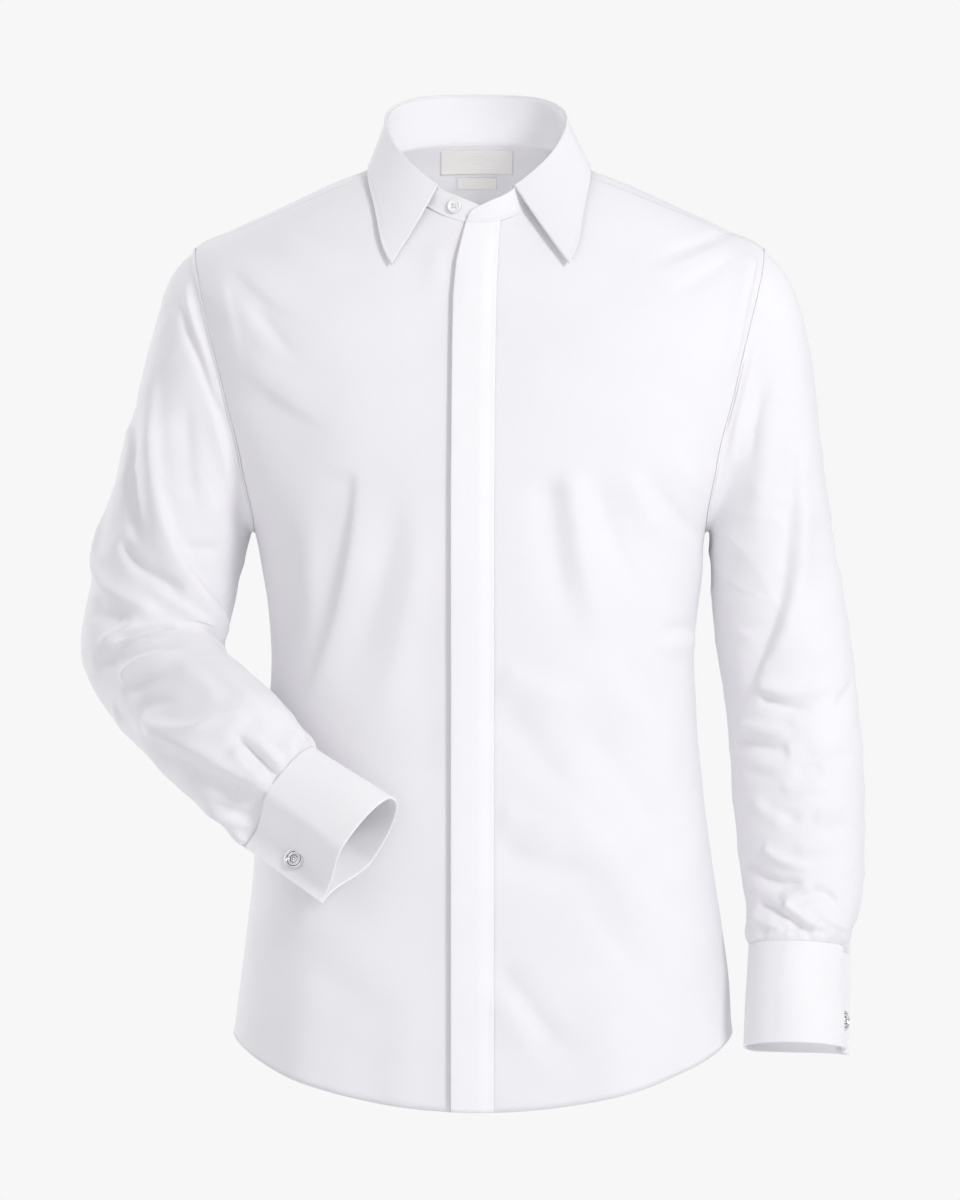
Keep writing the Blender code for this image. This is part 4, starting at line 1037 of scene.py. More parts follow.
def yoke_points(rows=52):
    """The yoke, over both shoulders: a patch between its two front seams with the neckline, the
    back seam, and the tops of the two armholes."""
    seam = np.linspace(1, 0, YOKE_SEAM_COLUMNS)
    ring_l, angle_l = front_seam(seam, 1)
    gap = SEAM / through(BODY, ring_l)[:, 0]
    neck_columns = YOKE_COLUMNS - 2 * len(seam) + 2
    neck = np.linspace(YOKE_NECK_ANGLE, 2 * math.pi - YOKE_NECK_ANGLE, neck_columns)[1:-1]
    near = np.concatenate(
        [
            np.stack([ring_l, angle_l + gap], 1),
            np.stack([0 * neck, neck], 1),
            np.stack([ring_l, 2 * math.pi - angle_l - gap], 1)[::-1],
        ]
    )
    share = np.linspace(0, 1, len(near))
    back_ring, back_angle = back_seam(share)
    far = np.stack([np.full_like(share, back_ring), back_angle], 1)
    v = np.linspace(0, 1, rows)
    turn = YOKE_FRONT_TURN - v * (YOKE_FRONT_TURN + YOKE_BACK_TURN)
    left = np.stack(armhole(turn, 1, SEAM), 1)
    right = left * (1, -1) + (0, 2 * math.pi)
    u, v = share[None, :, None], v[:, None, None]
    corners = (1 - u) * ((1 - v) * near[0] + v * far[0]) + u * ((1 - v) * near[-1] + v * far[-1])
    patch = (1 - v) * near[None] + v * far[None] + (1 - u) * left[:, None] + u * right[:, None]
    ring, angle = np.moveaxis(patch - corners, -1, 0)
    return np.clip(ring, 0, HEM), angle


# ---------------------------------------------------------------- sleeves and cuffs
def cuff_frame(cuff):
    """Axis, tail direction and outward normal of a cuff, square to each other."""
    axis = unit(cuff.axis)
    tail = unit(np.array(cuff.tail) - np.dot(cuff.tail, axis) * axis)
    normal = np.cross(axis, tail)
    return axis, tail, normal * (1 if normal[1] < 0 else -1)


def handed(cuff):
    axis, tail, normal = cuff_frame(cuff)
    return float(np.dot(np.cross(axis, tail), normal))


def cuff_outline(cuff, turn, along, half_gap, grow=1.0):
    """Points round a cuff. A turn of 0 is the tail's end, then comes the side that faces out."""
    axis, tail, normal = cuff_frame(cuff)
    cosine, sine = np.cos(turn), np.sin(turn)
    reach = cuff.tail_end * cosine
    parted = smooth((along / cuff.length - cuff.link - 0.11) / (0.89 - cuff.link))
    root = cuff.tail_end - cuff.flat * (1 - 0.85 * parted)
    belly = np.cos(0.5 * math.pi * np.clip(reach / root, 0, 1)) ** 2
    p = np.where(cosine > 0, reach, cuff.round_end * cosine * grow)
    wide = np.where(cosine > 0, belly, np.abs(sine))
    depth = np.where(sine > 0, cuff.outer_depth, cuff.depth)
    q = np.sign(sine) * (half_gap + (depth * grow - half_gap) * wide)
    q = q + cuff.shift * smooth(reach / root)
    middle = np.array(cuff.middle) + along[..., None] * axis
    return middle + p[..., None] * tail + q[..., None] * normal


CUFF_OUTER_ROWS = 44
CUFF_INNER_ROWS = 30
CUFF_COLUMNS = 181
CUFF_INNER_STOP = 6  # the inner layer ends this far from the cuff's top
CUFF_HALF_GAP = CUFF_WALL + 0.15  # between the middle of the flat tail and each side's face


def cuff_piece(name, cuff, finish):
    """A double cuff: an outer layer that rolls in at the open end and runs back inside."""
    turn = np.linspace(0.0005, 2 * math.pi - 0.0005, CUFF_COLUMNS)
    turn = turn + 0.10 * np.sin(2 * turn) * (np.cos(turn) > 0)
    roll = CUFF_WALL / 2
    length = cuff.length - roll
    bend = np.linspace(0, math.pi, 11)[1:-1]
    out_to_mouth = np.linspace(0, length, CUFF_OUTER_ROWS)
    back_inside = np.linspace(length, CUFF_INNER_STOP, CUFF_INNER_ROWS)
    along = np.concatenate([out_to_mouth, length + roll * np.sin(bend), back_inside])[:, None]
    inset = np.concatenate([0 * out_to_mouth, roll - roll * np.cos(bend), 0 * back_inside + 2 * roll])
    inset = inset[:, None]
    grow = 1 + (CUFF_FLARE - 1) * (along / cuff.length)
    along_grid = along + 0 * turn
    outer = cuff_outline(cuff, turn, along_grid, CUFF_HALF_GAP, grow)
    ahead = cuff_outline(cuff, turn, along_grid + 1, CUFF_HALF_GAP, grow)
    across = np.gradient(outer, axis=1)
    normals = unit(np.cross(ahead - outer, across)) * (-1 if handed(cuff) > 0 else 1)
    # a soft belly, and a faint groove at each line of stitches
    to_mouth = length + roll - along_grid
    wave = ripple(outer, 31, 0.35, 60) * smooth(along_grid / 12)
    groove = -0.16 * (bell(along_grid - TOPSTITCH, 0.6) + bell(to_mouth - TOPSTITCH, 0.6))
    groove = groove * (inset == 0)
    points = outer + (wave + groove - inset)[..., None] * normals
    piece = cloth(name, points, CUFF_LAYER, finish, flip=handed(cuff) > 0)
    return piece, points, normals


def link_place(cuff):
    axis, tail, normal = cuff_frame(cuff)
    middle = (
        np.array(cuff.middle)
        + cuff.link * cuff.length * axis
        + (cuff.tail_end - LINK_FROM_END) * tail
        + cuff.shift * normal
    )
    return middle, normal


def cuff_link(name, cuff, metal, stone):
    """Face with turned rings round a domed middle, a post, and a flat back."""
    middle, normal = link_place(cuff)
    clear = CUFF_WALL + 1.05  # from the post's middle to the back of the face
    top = clear + 3.2
    rings = [(3.0, top - 1.0)]
    for ring in range(3):
        centre = 3.7 + ring * 1.35
        rings += [(centre - 0.55, top - 0.75), (centre - 0.3, top - 0.2), (centre, top - 0.05)]
        rings += [(centre + 0.3, top - 0.2), (centre + 0.55, top - 0.75), (centre + 0.67, top - 0.95)]
    profile = [(0, top - 1.0)] + rings + [
        (7.45, top - 0.35),
        (7.8, top - 0.3),
        (8.0, top - 0.75),
        (8.0, clear + 0.8),
        (7.6, clear + 0.15),
        (6.6, clear),
        (2.3, clear),
        (1.5, clear - 0.4),
        (1.5, -clear + 0.4),
        (2.0, -clear),
        (4.5, -clear),
        (5.0, -clear - 0.5),
        (5.0, -clear - 1.4),
        (4.4, -clear - 2.0),
        (0, -clear - 2.0),
    ]
    face = place(turned(name, profile, metal), middle, normal)
    down = np.radians(np.linspace(0, 90, 12))
    dome = [(2.7 * math.sin(t), top - 0.9 + 1.5 * math.cos(t)) for t in down]
    dome += [(2.7, top - 1.1), (0, top - 1.1)]
    place(turned(name + "_stone", dome, stone, 48), middle, normal)
    return face


SLEEVE_END_GAP = 2.2  # half the sleeve's depth where the cuff's tail lies flat
SLEEVE_LAP = 1.3  # the head of the sleeve laps this far over the body panels
SLEEVE_HEAD = 0.25  # the share of the first stretch that runs straight
SLEEVE_ROWS = 200
SLEEVE_COLUMNS = 150
BODY_BLEND = 26  # over this length from the armhole it follows the body's cloth
CUFF_PUFF = 1.8
GATHERS = 17  # small pleats round the end of the sleeve
GATHER_HEIGHT = 0.9


def sleeve_rings(side, table, cuff, turn):
    """The sleeve's rings at the table's rows, from the armhole to the top of the cuff."""
    start = plain_body(*armhole(turn, side))
    t = Tube(*np.array(table, float).T)
    middle = np.stack([(t.outer_x + t.inner_x) / 2, t.y, (t.outer_z + t.inner_z) / 2], 1)
    across = np.stack([t.outer_x - t.inner_x, 0 * t.y, t.outer_z - t.inner_z], 1) / 2
    line = np.vstack([start.mean(0), middle, cuff.middle])
    along = unit(line[2:] - line[:-2])
    forward = np.cross(along, across)
    forward = unit(forward * -np.sign(forward[:, 1:2]))
    deep = forward * t.depth[:, None]
    cosine, sine = np.cos(turn)[:, None], np.sin(turn)[:, None]
    rings = middle[:, None] + cosine * across[:, None] + sine * deep[:, None]
    end_turn = turn - math.radians(cuff.tail_at)
    end = cuff_outline(cuff, end_turn, 0 * turn - 0.5, SLEEVE_END_GAP)
    return np.concatenate([start[None], rings, end[None]])


def sleeve(name, side, table, cuff, fronts, backs, seed, finish):
    turn = np.linspace(0, 2 * math.pi, SLEEVE_COLUMNS, endpoint=False)
    rings = sleeve_rings(side, table, cuff, turn)
    at = np.linspace(0, len(rings) - 1, SLEEVE_ROWS)
    plain = through(rings, at)
    # the head runs straight from the armhole, and laps over the panels there
    head = at < SLEEVE_HEAD
    share = at[head, None, None] / SLEEVE_HEAD
    plain[head] = rings[0] + share * (through(rings, SLEEVE_HEAD) - rings[0])
    plain[0] = plain_body(*armhole(turn, side, -0.6), 0.5)
    lap = [plain_body(*armhole(turn, side, gap), 0.62) for gap in (SLEEVE_LAP, 0.5 * SLEEVE_LAP)]
    plain = np.concatenate([lap, plain])
    normals = grid_normals(plain, closed=True) * (-1 if side > 0 else 1)
    lines = lines_on(plain, normals, fronts, backs)
    v = arc_lengths(plain)[1] / MM
    to_cuff = v[-1] - v
    moved = crease_field(plain, lines, SLEEVE_RISE, SLEEVE_WIDTH)
    moved = moved + ripple(plain, seed, 0.5, 60) + wrinkles(plain, seed)
    # the head of the sleeve follows the body's cloth, and the cuff end is gathered in small pleats
    head = 1 - smooth(v / BODY_BLEND)
    with_body = body_moved(plain[:1]) + 0 * moved
    moved = moved * smooth((v - 2) / 14) * smooth((to_cuff + 3) / 9) + with_body * head
    puff = CUFF_PUFF * bell(to_cuff - 10, 9) * smooth(to_cuff / 6)
    pleats = np.sin(GATHERS * turn + 2.2 * np.sin(2 * turn + seed))
    gathers = GATHER_HEIGHT * pleats * np.exp(-to_cuff / 16)
    seam_roll = 0.5 * bell(v - 1.6, 1.3) - 0.3 * bell(v - ARMHOLE_STITCH, 1.0)
    moved = moved + puff + gathers * smooth(to_cuff / 4) + seam_roll
    points = plain + moved[..., None] * normals
    # the end is tucked under the cuff
    tucked = points[-1] - 1.1 * normals[-1] + 3.0 * unit(cuff.axis)
    points = np.concatenate([points[:-1], points[-1:] - 0.9 * normals[-1:], tucked[None]])
    piece = cloth(name, points, SHIRTING, finish, closed=True, flip=side > 0)
    return piece, points, grid_normals(points, closed=True) * (-1 if side > 0 else 1)


# ---------------------------------------------------------------- collar
def fold_point(angle):
    """The collar's fold at an angle from the back, positive to the wearer's left."""
    height = through(np.array(FOLD_HEIGHTS, float)[:, None], np.abs(angle) / FOLD_STEP)[..., 0]
    x = FOLD_MIDDLE[0] + FOLD_HALF_WIDTH * np.sin(angle)
    y = FOLD_MIDDLE[1] + FOLD_HALF_DEPTH * np.cos(angle)
    return np.stack([x, y, height], axis=-1)


def band_cross(angle):
    """How far forward the left end of the stand lies, and the right end back, as they cross."""
    cross = BAND_CROSS * np.sign(angle) * smooth((np.abs(angle) - 2.6) / 0.35)
    return cross[..., None] * (0, 1, 0)


def band_point(angle, share):
    """The collar's stand, from its foot on the neckline (0) to its top under the fold (1)."""
    foot = plain_body(0.0, math.pi - angle) + (0, 0, BAND_FOOT_RISE)
    top = fold_point(angle) - (0, 0, BAND_BELOW_FOLD)
    from_end = BODY[0].front * (BAND_END - np.abs(angle)) / BAND_ROUNDING
    height = BAND_FRONT_HEIGHT * np.sqrt(1 - (1 - np.clip(from_end, 0, 1)) ** 2)
    rounded = foot + height[..., None] * (0, 0, 1)
    past = smooth((np.abs(angle) - FOLD_END) / 0.28 + 0.3)[..., None]
    top = (1 - past) * top + past * rounded
    points = foot + share[..., None] * (top - foot)
    return points - band_cross(angle)


BAND_ROWS = 26
BAND_COLUMNS = 110  # from the back to where the end begins to round
BAND_FOOT_RINGS = (0.085, 0.05, 0.02)  # the body's rings that the foot lies on
BAND_FOOT_LIFT = 0.75


def collar_band(finish):
    ends = BAND_END - np.radians([0.02, 0.1, 0.3, 0.7, 1.3, 2.1, 3.1])
    half = np.concatenate([ends, np.linspace(BAND_END - math.radians(4.2), 0, BAND_COLUMNS)])
    angle = np.concatenate([-half, half[-2::-1]])
    points = band_point(angle, np.linspace(0, 1, BAND_ROWS)[:, None] + 0 * angle)
    # the foot covers the neck edge of the panels
    ring = np.array(BAND_FOOT_RINGS)[:, None]
    skirt = plain_body(ring, math.pi - angle, BAND_FOOT_LIFT) - band_cross(angle)
    points[:2] += 0.3 * unit(points[:2] * (1, 1, 0))
    points = np.concatenate([skirt, points])
    height = arc_lengths(points)[1] / MM
    moved = -0.15 * bell(height - BAND_STITCH, 0.6) - 0.15 * bell(height[-1] - height - 3.2, 0.6)
    points = points + moved[..., None] * grid_normals(points)
    return cloth("collar_band_cloth", points, COLLAR_CLOTH, finish), points, angle


LEAF_COLUMNS = 241
LEAF_ROLL_ROWS = 15  # from inside the fold to its outer side
LEAF_FALL_ROWS = 41
LEAF_FOLD_LENGTH = 8  # the part of each side that is rolled over the fold, and has no stitches


def leaf_grid():
    """The leaf, from the fold out and down to its edge and points."""
    angle = np.linspace(-FOLD_END, FOLD_END, LEAF_COLUMNS)
    fold = fold_point(angle)
    edge_at = np.abs(angle) / FOLD_END * (len(LEAF_EDGE) - 1)
    edge = Edge(*np.moveaxis(through(LEAF_EDGE, edge_at), -1, 0))
    stand_off = edge.lift + COLLAR_WALL - RIGHT_LEAF_SINK * smooth(-angle / FOLD_END * 2)
    rim = plain_body(edge.ring, math.pi - np.sign(angle) * np.radians(edge.angle), stand_off)
    outward = unit((rim - fold) * (1, 1, 0))
    up = np.array([0, 0, 1.0])
    key = [fold - 0.9 * up - 0.25 * outward, fold - 0.1 * up]
    key += [fold + 0.5 * LEAF_ROLL * up + 0.45 * LEAF_ROLL * outward]
    shoulder = fold + 0.15 * LEAF_ROLL * up + 1.15 * LEAF_ROLL * outward
    for share in np.linspace(0, 1, 6):
        bow = LEAF_CROWN * math.sin(math.pi * share)
        key.append(shoulder + share * (rim - shoulder) + bow * outward)
    over = np.linspace(0, 3, LEAF_ROLL_ROWS + 1)[:-1]
    at = np.concatenate([over, np.linspace(3, len(key) - 1, LEAF_FALL_ROWS)])
    return through(np.array(key), at)


def collar_leaf(finish):
    points = leaf_grid()
    normals = -grid_normals(points)
    u, down = (lengths / MM for lengths in arc_lengths(points))
    to_side = np.minimum(u - u[:, :1], u[:, -1:] - u)
    far_off = 400 * (down < LEAF_FOLD_LENGTH)
    edge = np.minimum(down[-1] - down, to_side + far_off)
    moved = -0.20 * bell(edge - TOPSTITCH, 0.6) + 0.22 * smooth((2.4 - edge) / 2.0)
    moved = moved + ripple(points, 12, 0.3, 55) * smooth(down / 12)
    points = points + moved[..., None] * normals
    piece = cloth("collar_leaf_cloth", points, COLLAR_CLOTH, finish, flip=True)
    return piece, points, normals


# ---------------------------------------------------------------- buttons
BUTTON_HOLE_AT = 1.15
BUTTON_HOLE_RADIUS = 0.62
BUTTON_DISH = 3.6  # radius inside the raised rim


def button(name, finish):
    """A four-hole button with a raised rim, on its own Z."""
    radius = np.concatenate([np.linspace(0, BUTTON_DISH, 34), np.linspace(3.7, BUTTON_RADIUS, 14)])
    turn = np.linspace(0, 2 * math.pi, 72, endpoint=False)
    height = 1.45 + 0.65 * smooth((radius - BUTTON_DISH) / 0.9) - 0.5 * smooth((radius - 4.9) / 0.6)
    top = ring_points(radius, height, turn)
    x, y, z = np.moveaxis(top, -1, 0)
    for a, b in ((1, 1), (1, -1), (-1, 1), (-1, -1)):
        away = np.hypot(x - a * BUTTON_HOLE_AT, y - b * BUTTON_HOLE_AT)
        z -= 1.2 * smooth((BUTTON_HOLE_RADIUS + 0.12 - away) / 0.24)
    side = ring_points(np.array([5.5, 5.2, 4.6]), np.array([0.6, 0.1, 0.0]), turn)
    rings = np.concatenate([top[1:], side])
    count, steps = rings.shape[:2]
    r, c = np.meshgrid(np.arange(count - 1) * steps, np.arange(steps), indexing="ij")
    beside = (c + 1) % steps
    quads = np.stack([r + c, r + steps + c, r + steps + beside, r + beside], -1)
    points = np.concatenate([rings.reshape(-1, 3), [[0, 0, z[0, 0]], [0, 0, 0.0]]])
    middle, under = len(points) - 2, len(points) - 1
    base = (count - 1) * steps
    fans = [(middle, k, (k + 1) % steps) for k in range(steps)]
    fans += [(under, base + (k + 1) % steps, base + k) for k in range(steps)]
    mesh = bpy.data.meshes.new(name)
    mesh.from_pydata((points * MM).tolist(), [], quads.reshape(-1, 4).tolist() + fans)
    mesh.shade_smooth()
    mesh.set_sharp_from_angle(angle=math.radians(50))
    return add_object(name, mesh, finish)


def button_thread(name, finish):
    """Two crossed bars of thread over a button's holes."""
    points, faces = [], []
    for sign in (1, -1):
        for offset in (-0.22, 0.0, 0.22):
            start = np.array([-BUTTON_HOLE_AT, -sign * BUTTON_HOLE_AT, 1.3])
            end = np.array([BUTTON_HOLE_AT, sign * BUTTON_HOLE_AT, 1.3])
            beside = unit(np.cross(end - start, (0, 0, 1)))
            base = len(points)
            for share in np.linspace(0, 1, 7):
                middle = start + share * (end - start) + offset * beside
                middle[2] += 0.45 * math.sin(math.pi * share)
                for t in np.linspace(0, 2 * math.pi, 6, endpoint=False):
                    around = math.cos(t) * beside + math.sin(t) * np.array([0, 0, 1])
                    points.append(middle + 0.13 * around)
            for k in range(6):
                for j in range(6):
                    a, b = base + 6 * k + j, base + 6 * k + (j + 1) % 6
                    faces.append((a, b, b + 6, a + 6))
    return add_object(name, mesh_of(name, points, faces), finish)


# ---------------------------------------------------------------- the shirt
FLY_SEAM_START = 6  # the first row of the fly that is clear of the collar band
YOKE_SEAM_END = 58
LEAF_SIDE_START = 17  # the first row of the leaf past its fold
BUTTONHOLE_HALF_TURN = 3.2  # degrees
BUTTONHOLE_HALF_WIDTH = 0.55


def line_of(points, normals, rows, columns):
    return sampled(points, rows, columns), unit(sampled(normals, rows, columns))


def places_at(lengths, distance, from_end):
    """For each row of lengths, the fractional place this far from its first or last one."""
    places = np.arange(lengths.shape[1])
    wanted = lengths[:, -1] - distance if from_end else lengths[:, 0] + distance
    return np.array([np.interp(at, line, places) for at, line in zip(wanted, lengths)])


def row_at(points, distance, from_end=False):
    """For each column of a grid, the fractional row this many millimetres from its start or end."""
    return places_at(arc_lengths(points)[1].T / MM, distance, from_end)


def column_at(points, distance, from_end=False):
    """For each row of a grid, the fractional column this far from its first or last column."""
    return places_at(arc_lengths(points)[0] / MM, distance, from_end)


def columns_of(grid, margin=1):
    """The column numbers of a grid, without this many at each side."""
    return np.arange(float(margin), grid.shape[1] - margin)


def seam_along(grid, normals, distance, columns, from_end=False):
    """A line over these columns of a grid, this far from its first or last row."""
    rows = row_at(grid, distance, from_end)[columns.astype(int)]
    return line_of(grid, normals, rows, columns)


def build_body(thread):
    grids = []
    for word, side, edge_column, dip in (("right", -1, 2, UNDER_DEPTH), ("left", 1, 1, 0)):
        grid = front_panel(word, side, edge_column, dip)
        grids.append((grid, outwards(grid, side < 0)))
    # the fly's cotton is the shirting made lighter: painted light
    fly, fly_grid = fly_placket(cotton("fly_lit_cotton", FLY_LIT_WHITE))
    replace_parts(fly, "fly_placket")
    back, back_grid = back_panel(cotton("back_cotton", WHITE))
    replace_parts(back, "back")
    grids.append((back_grid, outwards(back_grid)))
    yoke_grid = on_body(*yoke_points())
    yoke = cloth("yoke_cloth", yoke_grid, SHIRTING, cotton("yoke_cotton", WHITE))
    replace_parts(yoke, "yoke")

    hem = [seam_along(*grid, HEM_DEPTH, columns_of(grid[0]), from_end=True) for grid in grids]
    stitches("hem_stitches", hem, thread)
    rows = np.arange(float(FLY_SEAM_START), len(fly_grid) - 1)
    columns = column_at(fly_grid, FLY_STITCH, from_end=True)[FLY_SEAM_START:-1]
    fly_seam = line_of(fly_grid, outwards(fly_grid), rows, columns)
    stitches("fly_stitches", [fly_seam], thread)
    yoke_face = yoke_grid, outwards(yoke_grid)
    left_columns = np.arange(1.0, YOKE_SEAM_END)
    right_columns = yoke_grid.shape[1] - 1 - left_columns
    yoke_seams = [seam_along(*yoke_face, YOKE_STITCH, columns_of(yoke_grid), from_end=True)]
    for columns in (left_columns, right_columns):
        yoke_seams.append(seam_along(*yoke_face, YOKE_STITCH, columns))
    stitches("yoke_stitches", yoke_seams, thread)


def build_arms(thread):
    """Sleeves, cuffs and links."""
    # the pairs of radii are painted dark rings: shade in the face's grooves, and a dark reflection on the
    # dome
    silver = silver_finish("link_silver", (0.95, 0.95, 0.96), 0.17, ((2.9, 3.3), (5.55, 6.0)))
    stone = silver_finish("link_stone", (0.90, 0.91, 0.94), 0.08, ((0.9, 1.25),))
    for word, side, table, cuff, fronts, backs, seed in (
        ("left", 1, LEFT_SLEEVE, LEFT_CUFF, LEFT_FRONT_CREASES, LEFT_BACK_CREASES, 3),
        ("right", -1, RIGHT_SLEEVE, RIGHT_CUFF, RIGHT_FRONT_CREASES, RIGHT_BACK_CREASES, 8),
    ):
        finish = cotton("sleeve_%s_cotton" % word, WHITE)
        piece, *face = sleeve(
            "sleeve_%s_cloth" % word, side, table, cuff, fronts, backs, seed, finish
        )
        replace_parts(piece, "sleeve_" + word)
        face = [np.concatenate([grid, grid[:, :1]], 1) for grid in face]
        seam = seam_along(*face, ARMHOLE_STITCH, columns_of(face[0], 0))
        stitches("armhole_%s_stitches" % word, [seam], thread)
        finish = cotton("cuff_%s_cotton" % word, CRISP, FINE_TWILL)
        cuff_cloth, *face = cuff_piece("cuff_%s_cloth" % word, cuff, finish)
        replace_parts(cuff_cloth, "cuff_" + word)
        face = [grid[:CUFF_OUTER_ROWS] for grid in face]
        columns = columns_of(face[0])
        top = seam_along(*face, TOPSTITCH, columns)
        mouth = seam_along(*face, MOUTH_STITCH, columns, from_end=True)
        stitches("cuff_%s_stitches" % word, [top, mouth], thread)
        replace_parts(cuff_link("cuff_link_%s_turned" % word, cuff, silver, stone), "cuff_link_" + word)


def build_collar(thread):
    band, band_grid, band_angle = collar_band(cotton("band_cotton", CRISP, FINE_TWILL))
    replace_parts(band, "collar_band")
    # the leaf's cotton is the shirting made greyer: painted shade
    leaf, *face = collar_leaf(cotton("leaf_shaded_cotton", LEAF_SHADED_WHITE, FINE_TWILL))
    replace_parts(leaf, "collar_leaf")
    left_columns = column_at(face[0], TOPSTITCH)
    right_columns = column_at(face[0], TOPSTITCH, from_end=True)
    corner = float(left_columns[-1])
    columns = columns_of(face[0], 0)
    columns = columns[(columns > corner) & (columns < LEAF_COLUMNS - 1 - corner)]
    lines = [seam_along(*face, TOPSTITCH, columns, from_end=True)]
    last = float(row_at(face[0], TOPSTITCH, from_end=True)[int(corner) + 1])
    rows = np.arange(float(LEAF_SIDE_START), last)
    for columns in (left_columns, right_columns):
        lines.append(line_of(*face, rows, columns[LEAF_SIDE_START : LEAF_SIDE_START + len(rows)]))
    stitches("collar_leaf_stitches", lines, thread)

    face = band_grid, grid_normals(band_grid)
    lines = [seam_along(*face, BAND_STITCH, columns_of(band_grid, 3))]
    hole = np.radians(np.linspace(-BUTTONHOLE_HALF_TURN, BUTTONHOLE_HALF_TURN, 40))
    columns = np.interp(COLLAR_BUTTON_ANGLE + hole, band_angle, columns_of(band_grid, 0))
    for beside in (-BUTTONHOLE_HALF_WIDTH, BUTTONHOLE_HALF_WIDTH):
        rows = row_at(band_grid, BUTTONHOLE_HEIGHT + beside)
        rows = np.interp(columns, columns_of(band_grid, 0), rows)
        lines.append(line_of(*face, rows, columns))
    stitches("collar_band_stitches", lines, thread)


def build_buttons(thread):
    pearl = pearl_finish("button_pearl")
    angle = np.array(-COLLAR_BUTTON_ANGLE)
    out = np.array([math.sin(angle), math.cos(angle), 0.12])
    middle = band_point(angle, np.array(0.45)) + 0.5 * unit(out)
    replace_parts(place(button("collar_button_pearl", pearl), middle, out), "collar_button")
    place(button_thread("collar_button_thread", thread), middle, out)
    rings = np.linspace(0, HEM, 600)
    for number in range(FLY_BUTTONS):
        z = FLY_BUTTON_TOP - number * FLY_BUTTON_SPACING
        ring = np.interp(-z, -body(rings, 0.0)[:, 2], rings)
        angle = angle_at(ring, FLY_BUTTON_X)
        name = "fly_button_%d" % (number + 1)
        piece = place(button(name + "_pearl", pearl), on_body(ring, angle, 0.15), body_normal(ring, angle))
        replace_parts(piece, name)


# a label's place inside the yoke: X of its sides, and its rows as counted in the yoke's solid
Patch = namedtuple("Patch", "left right top bottom")
LABEL = Patch(27.0, -32.0, 0.42, 1.86)
TAB = Patch(13.5, -18.5, 2.0, 2.45)
YOKE_SOLID_ROWS = 6
FINER = 12  # rows here for one of the solid
LABEL_ROWS = 34
LABEL_COLUMNS = 60
LABEL_CLOTH = 0.4
LABEL_LIFT = 0.3
RULE_LIFT = 0.32
LABEL_RULES = ((9.5, 22, 38), (15.0, 14, 46), (20.5, 24, 36))  # row, first and last column


def labels():
    """A blank woven label and a blank size tab on the inside of the yoke, with plain gold rules."""
    ring, angle = yoke_points(YOKE_SOLID_ROWS * FINER + 1)
    inside = plain_body(ring, angle)
    normals = body_normal(ring, angle)
    finish = woven_label_finish("label_satin", (0.915, 0.905, 0.872))
    gold = speckled("gold_thread", 0.45, 1500.0, (0.62, 0.52, 0.26), (0.80, 0.72, 0.46), (0.5, 0.0001))
    for node, patch, depth in (("neck_label", LABEL, 1.0), ("size_tab", TAB, 1.1)):
        rows = np.linspace(patch.top, patch.bottom, LABEL_ROWS) * FINER
        at_x = np.linspace(patch.left, patch.right, LABEL_COLUMNS)
        numbers = np.arange(inside.shape[1])
        columns = np.array([np.interp(-at_x, -inside[int(row), :, 0], numbers) for row in rows])
        out = sampled(normals, rows[:, None], columns)
        points = sampled(inside, rows[:, None], columns) - depth * out
        out = -unit(out)
        face = points + LABEL_LIFT * out
        piece = cloth(node + "_satin", face, LABEL_CLOTH, finish, flip=True)
        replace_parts(piece, node)
        if patch is LABEL:
            marks = []
            for row, start, end in LABEL_RULES:
                track = np.linspace(start, end, 40)
                marks.append(line_of(points + RULE_LIFT * out, out, np.full(40, row), track))
            stitches("label_rules", marks, gold.material)


def build_shirt():
    dark, light = (0.78, 0.78, 0.80), (0.88, 0.88, 0.90)
    thread = speckled("sewing_thread", 0.6, 900.0, dark, light, (0.4, 0.0001)).material
    build_body(thread)
    build_arms(thread)
    build_collar(thread)
    build_buttons(thread)
    labels()


# ---------------------------------------------------------------- the studio
SHIRT_MIDDLE = (0, 0, -0.35)
ROOM = (0.55, 0.545, 0.557)
BACK_WALL = (0.80, 0.795, 0.81)
BACKDROP = (0.93, 0.93, 0.93)
FLOOR = ((0.86, 0.86, 0.87), (0.88, 0.88, 0.89))
FLOOR_RADIUS = 4  # metres
FLOOR_HEIGHT = -1.5
SENSOR_WIDTH = 36


def add_light(kind, name, place_at, target, power, **settings):
    light = bpy.data.lights.new(name, kind)
    light.energy = power
    for key, value in settings.items():
        setattr(light, key, value)
    lamp = bpy.data.objects.new(name, light)
    lamp.location = place_at
    lamp.rotation_euler = (Vector(target) - Vector(place_at)).to_track_quat("-Z", "Y").to_euler()
    bpy.context.scene.collection.objects.link(lamp)


def world_mix(tree, share, low, high):
    """A node that mixes two colours, each a constant or another node's output."""
    mix = tree.nodes.new("ShaderNodeMix")
    mix.data_type = "RGBA"
    tree.links.new(share, mix.inputs[0])
    for socket, value in ((mix.inputs[6], low), (mix.inputs[7], high)):
        if isinstance(value, tuple):
            socket.default_value = (*value, 1)
        else:
            tree.links.new(value, socket)
    return mix.outputs[2]


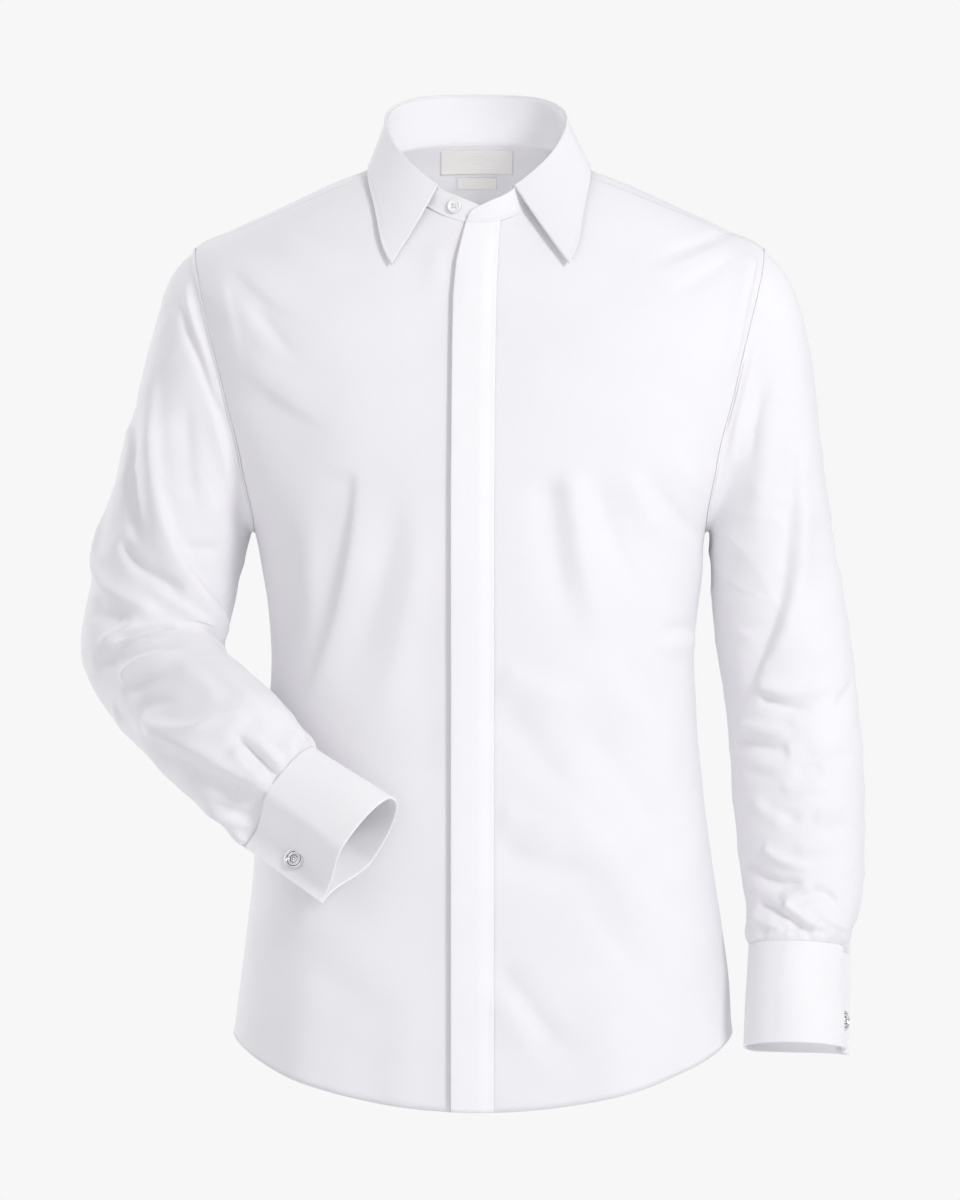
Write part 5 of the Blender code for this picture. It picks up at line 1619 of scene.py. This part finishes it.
def studio():
    scene = bpy.context.scene
    world = bpy.data.worlds.new("studio")
    scene.world = world
    world.use_nodes = True
    tree = world.node_tree
    background = tree.nodes["Background"]
    # the camera sees an even white; the cloth is lit more from the back wall than from the room
    direction = tree.nodes.new("ShaderNodeTexCoord")
    split = tree.nodes.new("ShaderNodeSeparateXYZ")
    tree.links.new(direction.outputs["Generated"], split.inputs[0])
    share = tree.nodes.new("ShaderNodeMapRange")
    share.inputs["From Min"].default_value = -0.6
    share.inputs["From Max"].default_value = 0.8
    tree.links.new(split.outputs["Y"], share.inputs["Value"])
    room = world_mix(tree, share.outputs[0], ROOM, BACK_WALL)
    path = tree.nodes.new("ShaderNodeLightPath")
    seen = world_mix(tree, path.outputs["Is Camera Ray"], room, BACKDROP)
    tree.links.new(seen, background.inputs["Color"])
    scene.view_settings.view_transform = "Standard"
    scene.view_settings.look = "None"
    for name, place_at, target, size, power in (
        ("key", (1.9, -2.3, 0.95), SHIRT_MIDDLE, 0.9, 44.5),
        ("fill", (-1.5, -3.4, 0.4), SHIRT_MIDDLE, 2.4, 13),
        ("back_light", (-2.5, 1.9, 1.0), (0, 0.1, -0.35), 0.7, 34),
    ):
        add_light("AREA", name, place_at, target, power, shape="DISK", size=size)
    # two weak lights for the inside of the neck
    spot = {"spot_size": math.radians(5.5), "spot_blend": 0.8, "shadow_soft_size": 0.05}
    add_light("SPOT", "neck_light", (-0.2, -0.85, 1.0), (-0.004, 0.055, 0.035), 0.5, **spot)
    add_light("POINT", "inside_light", (-0.01, -0.03, -0.13), (0, 0, 0), 0.21, shadow_soft_size=0.03)

    bpy.ops.mesh.primitive_circle_add(
        vertices=96, radius=FLOOR_RADIUS, fill_type="NGON", location=(0, 0, FLOOR_HEIGHT)
    )
    floor = bpy.context.object
    floor.name = "studio_floor"
    floor.data.materials.append(speckled("studio_floor", 0.9, 3.0, *FLOOR).material)

    camera = bpy.data.objects.new("camera", bpy.data.cameras.new("camera"))
    camera.location = (0, -CAMERA_DISTANCE * MM, CAMERA_HEIGHT * MM)
    camera.rotation_euler = (math.radians(90), 0, 0)
    camera.data.sensor_width = SENSOR_WIDTH
    camera.data.lens = SENSOR_WIDTH * CAMERA_DISTANCE * MM / PICTURE_HEIGHT
    camera.data.clip_end = 50
    scene.collection.objects.link(camera)
    scene.camera = camera


build_shirt()
studio()
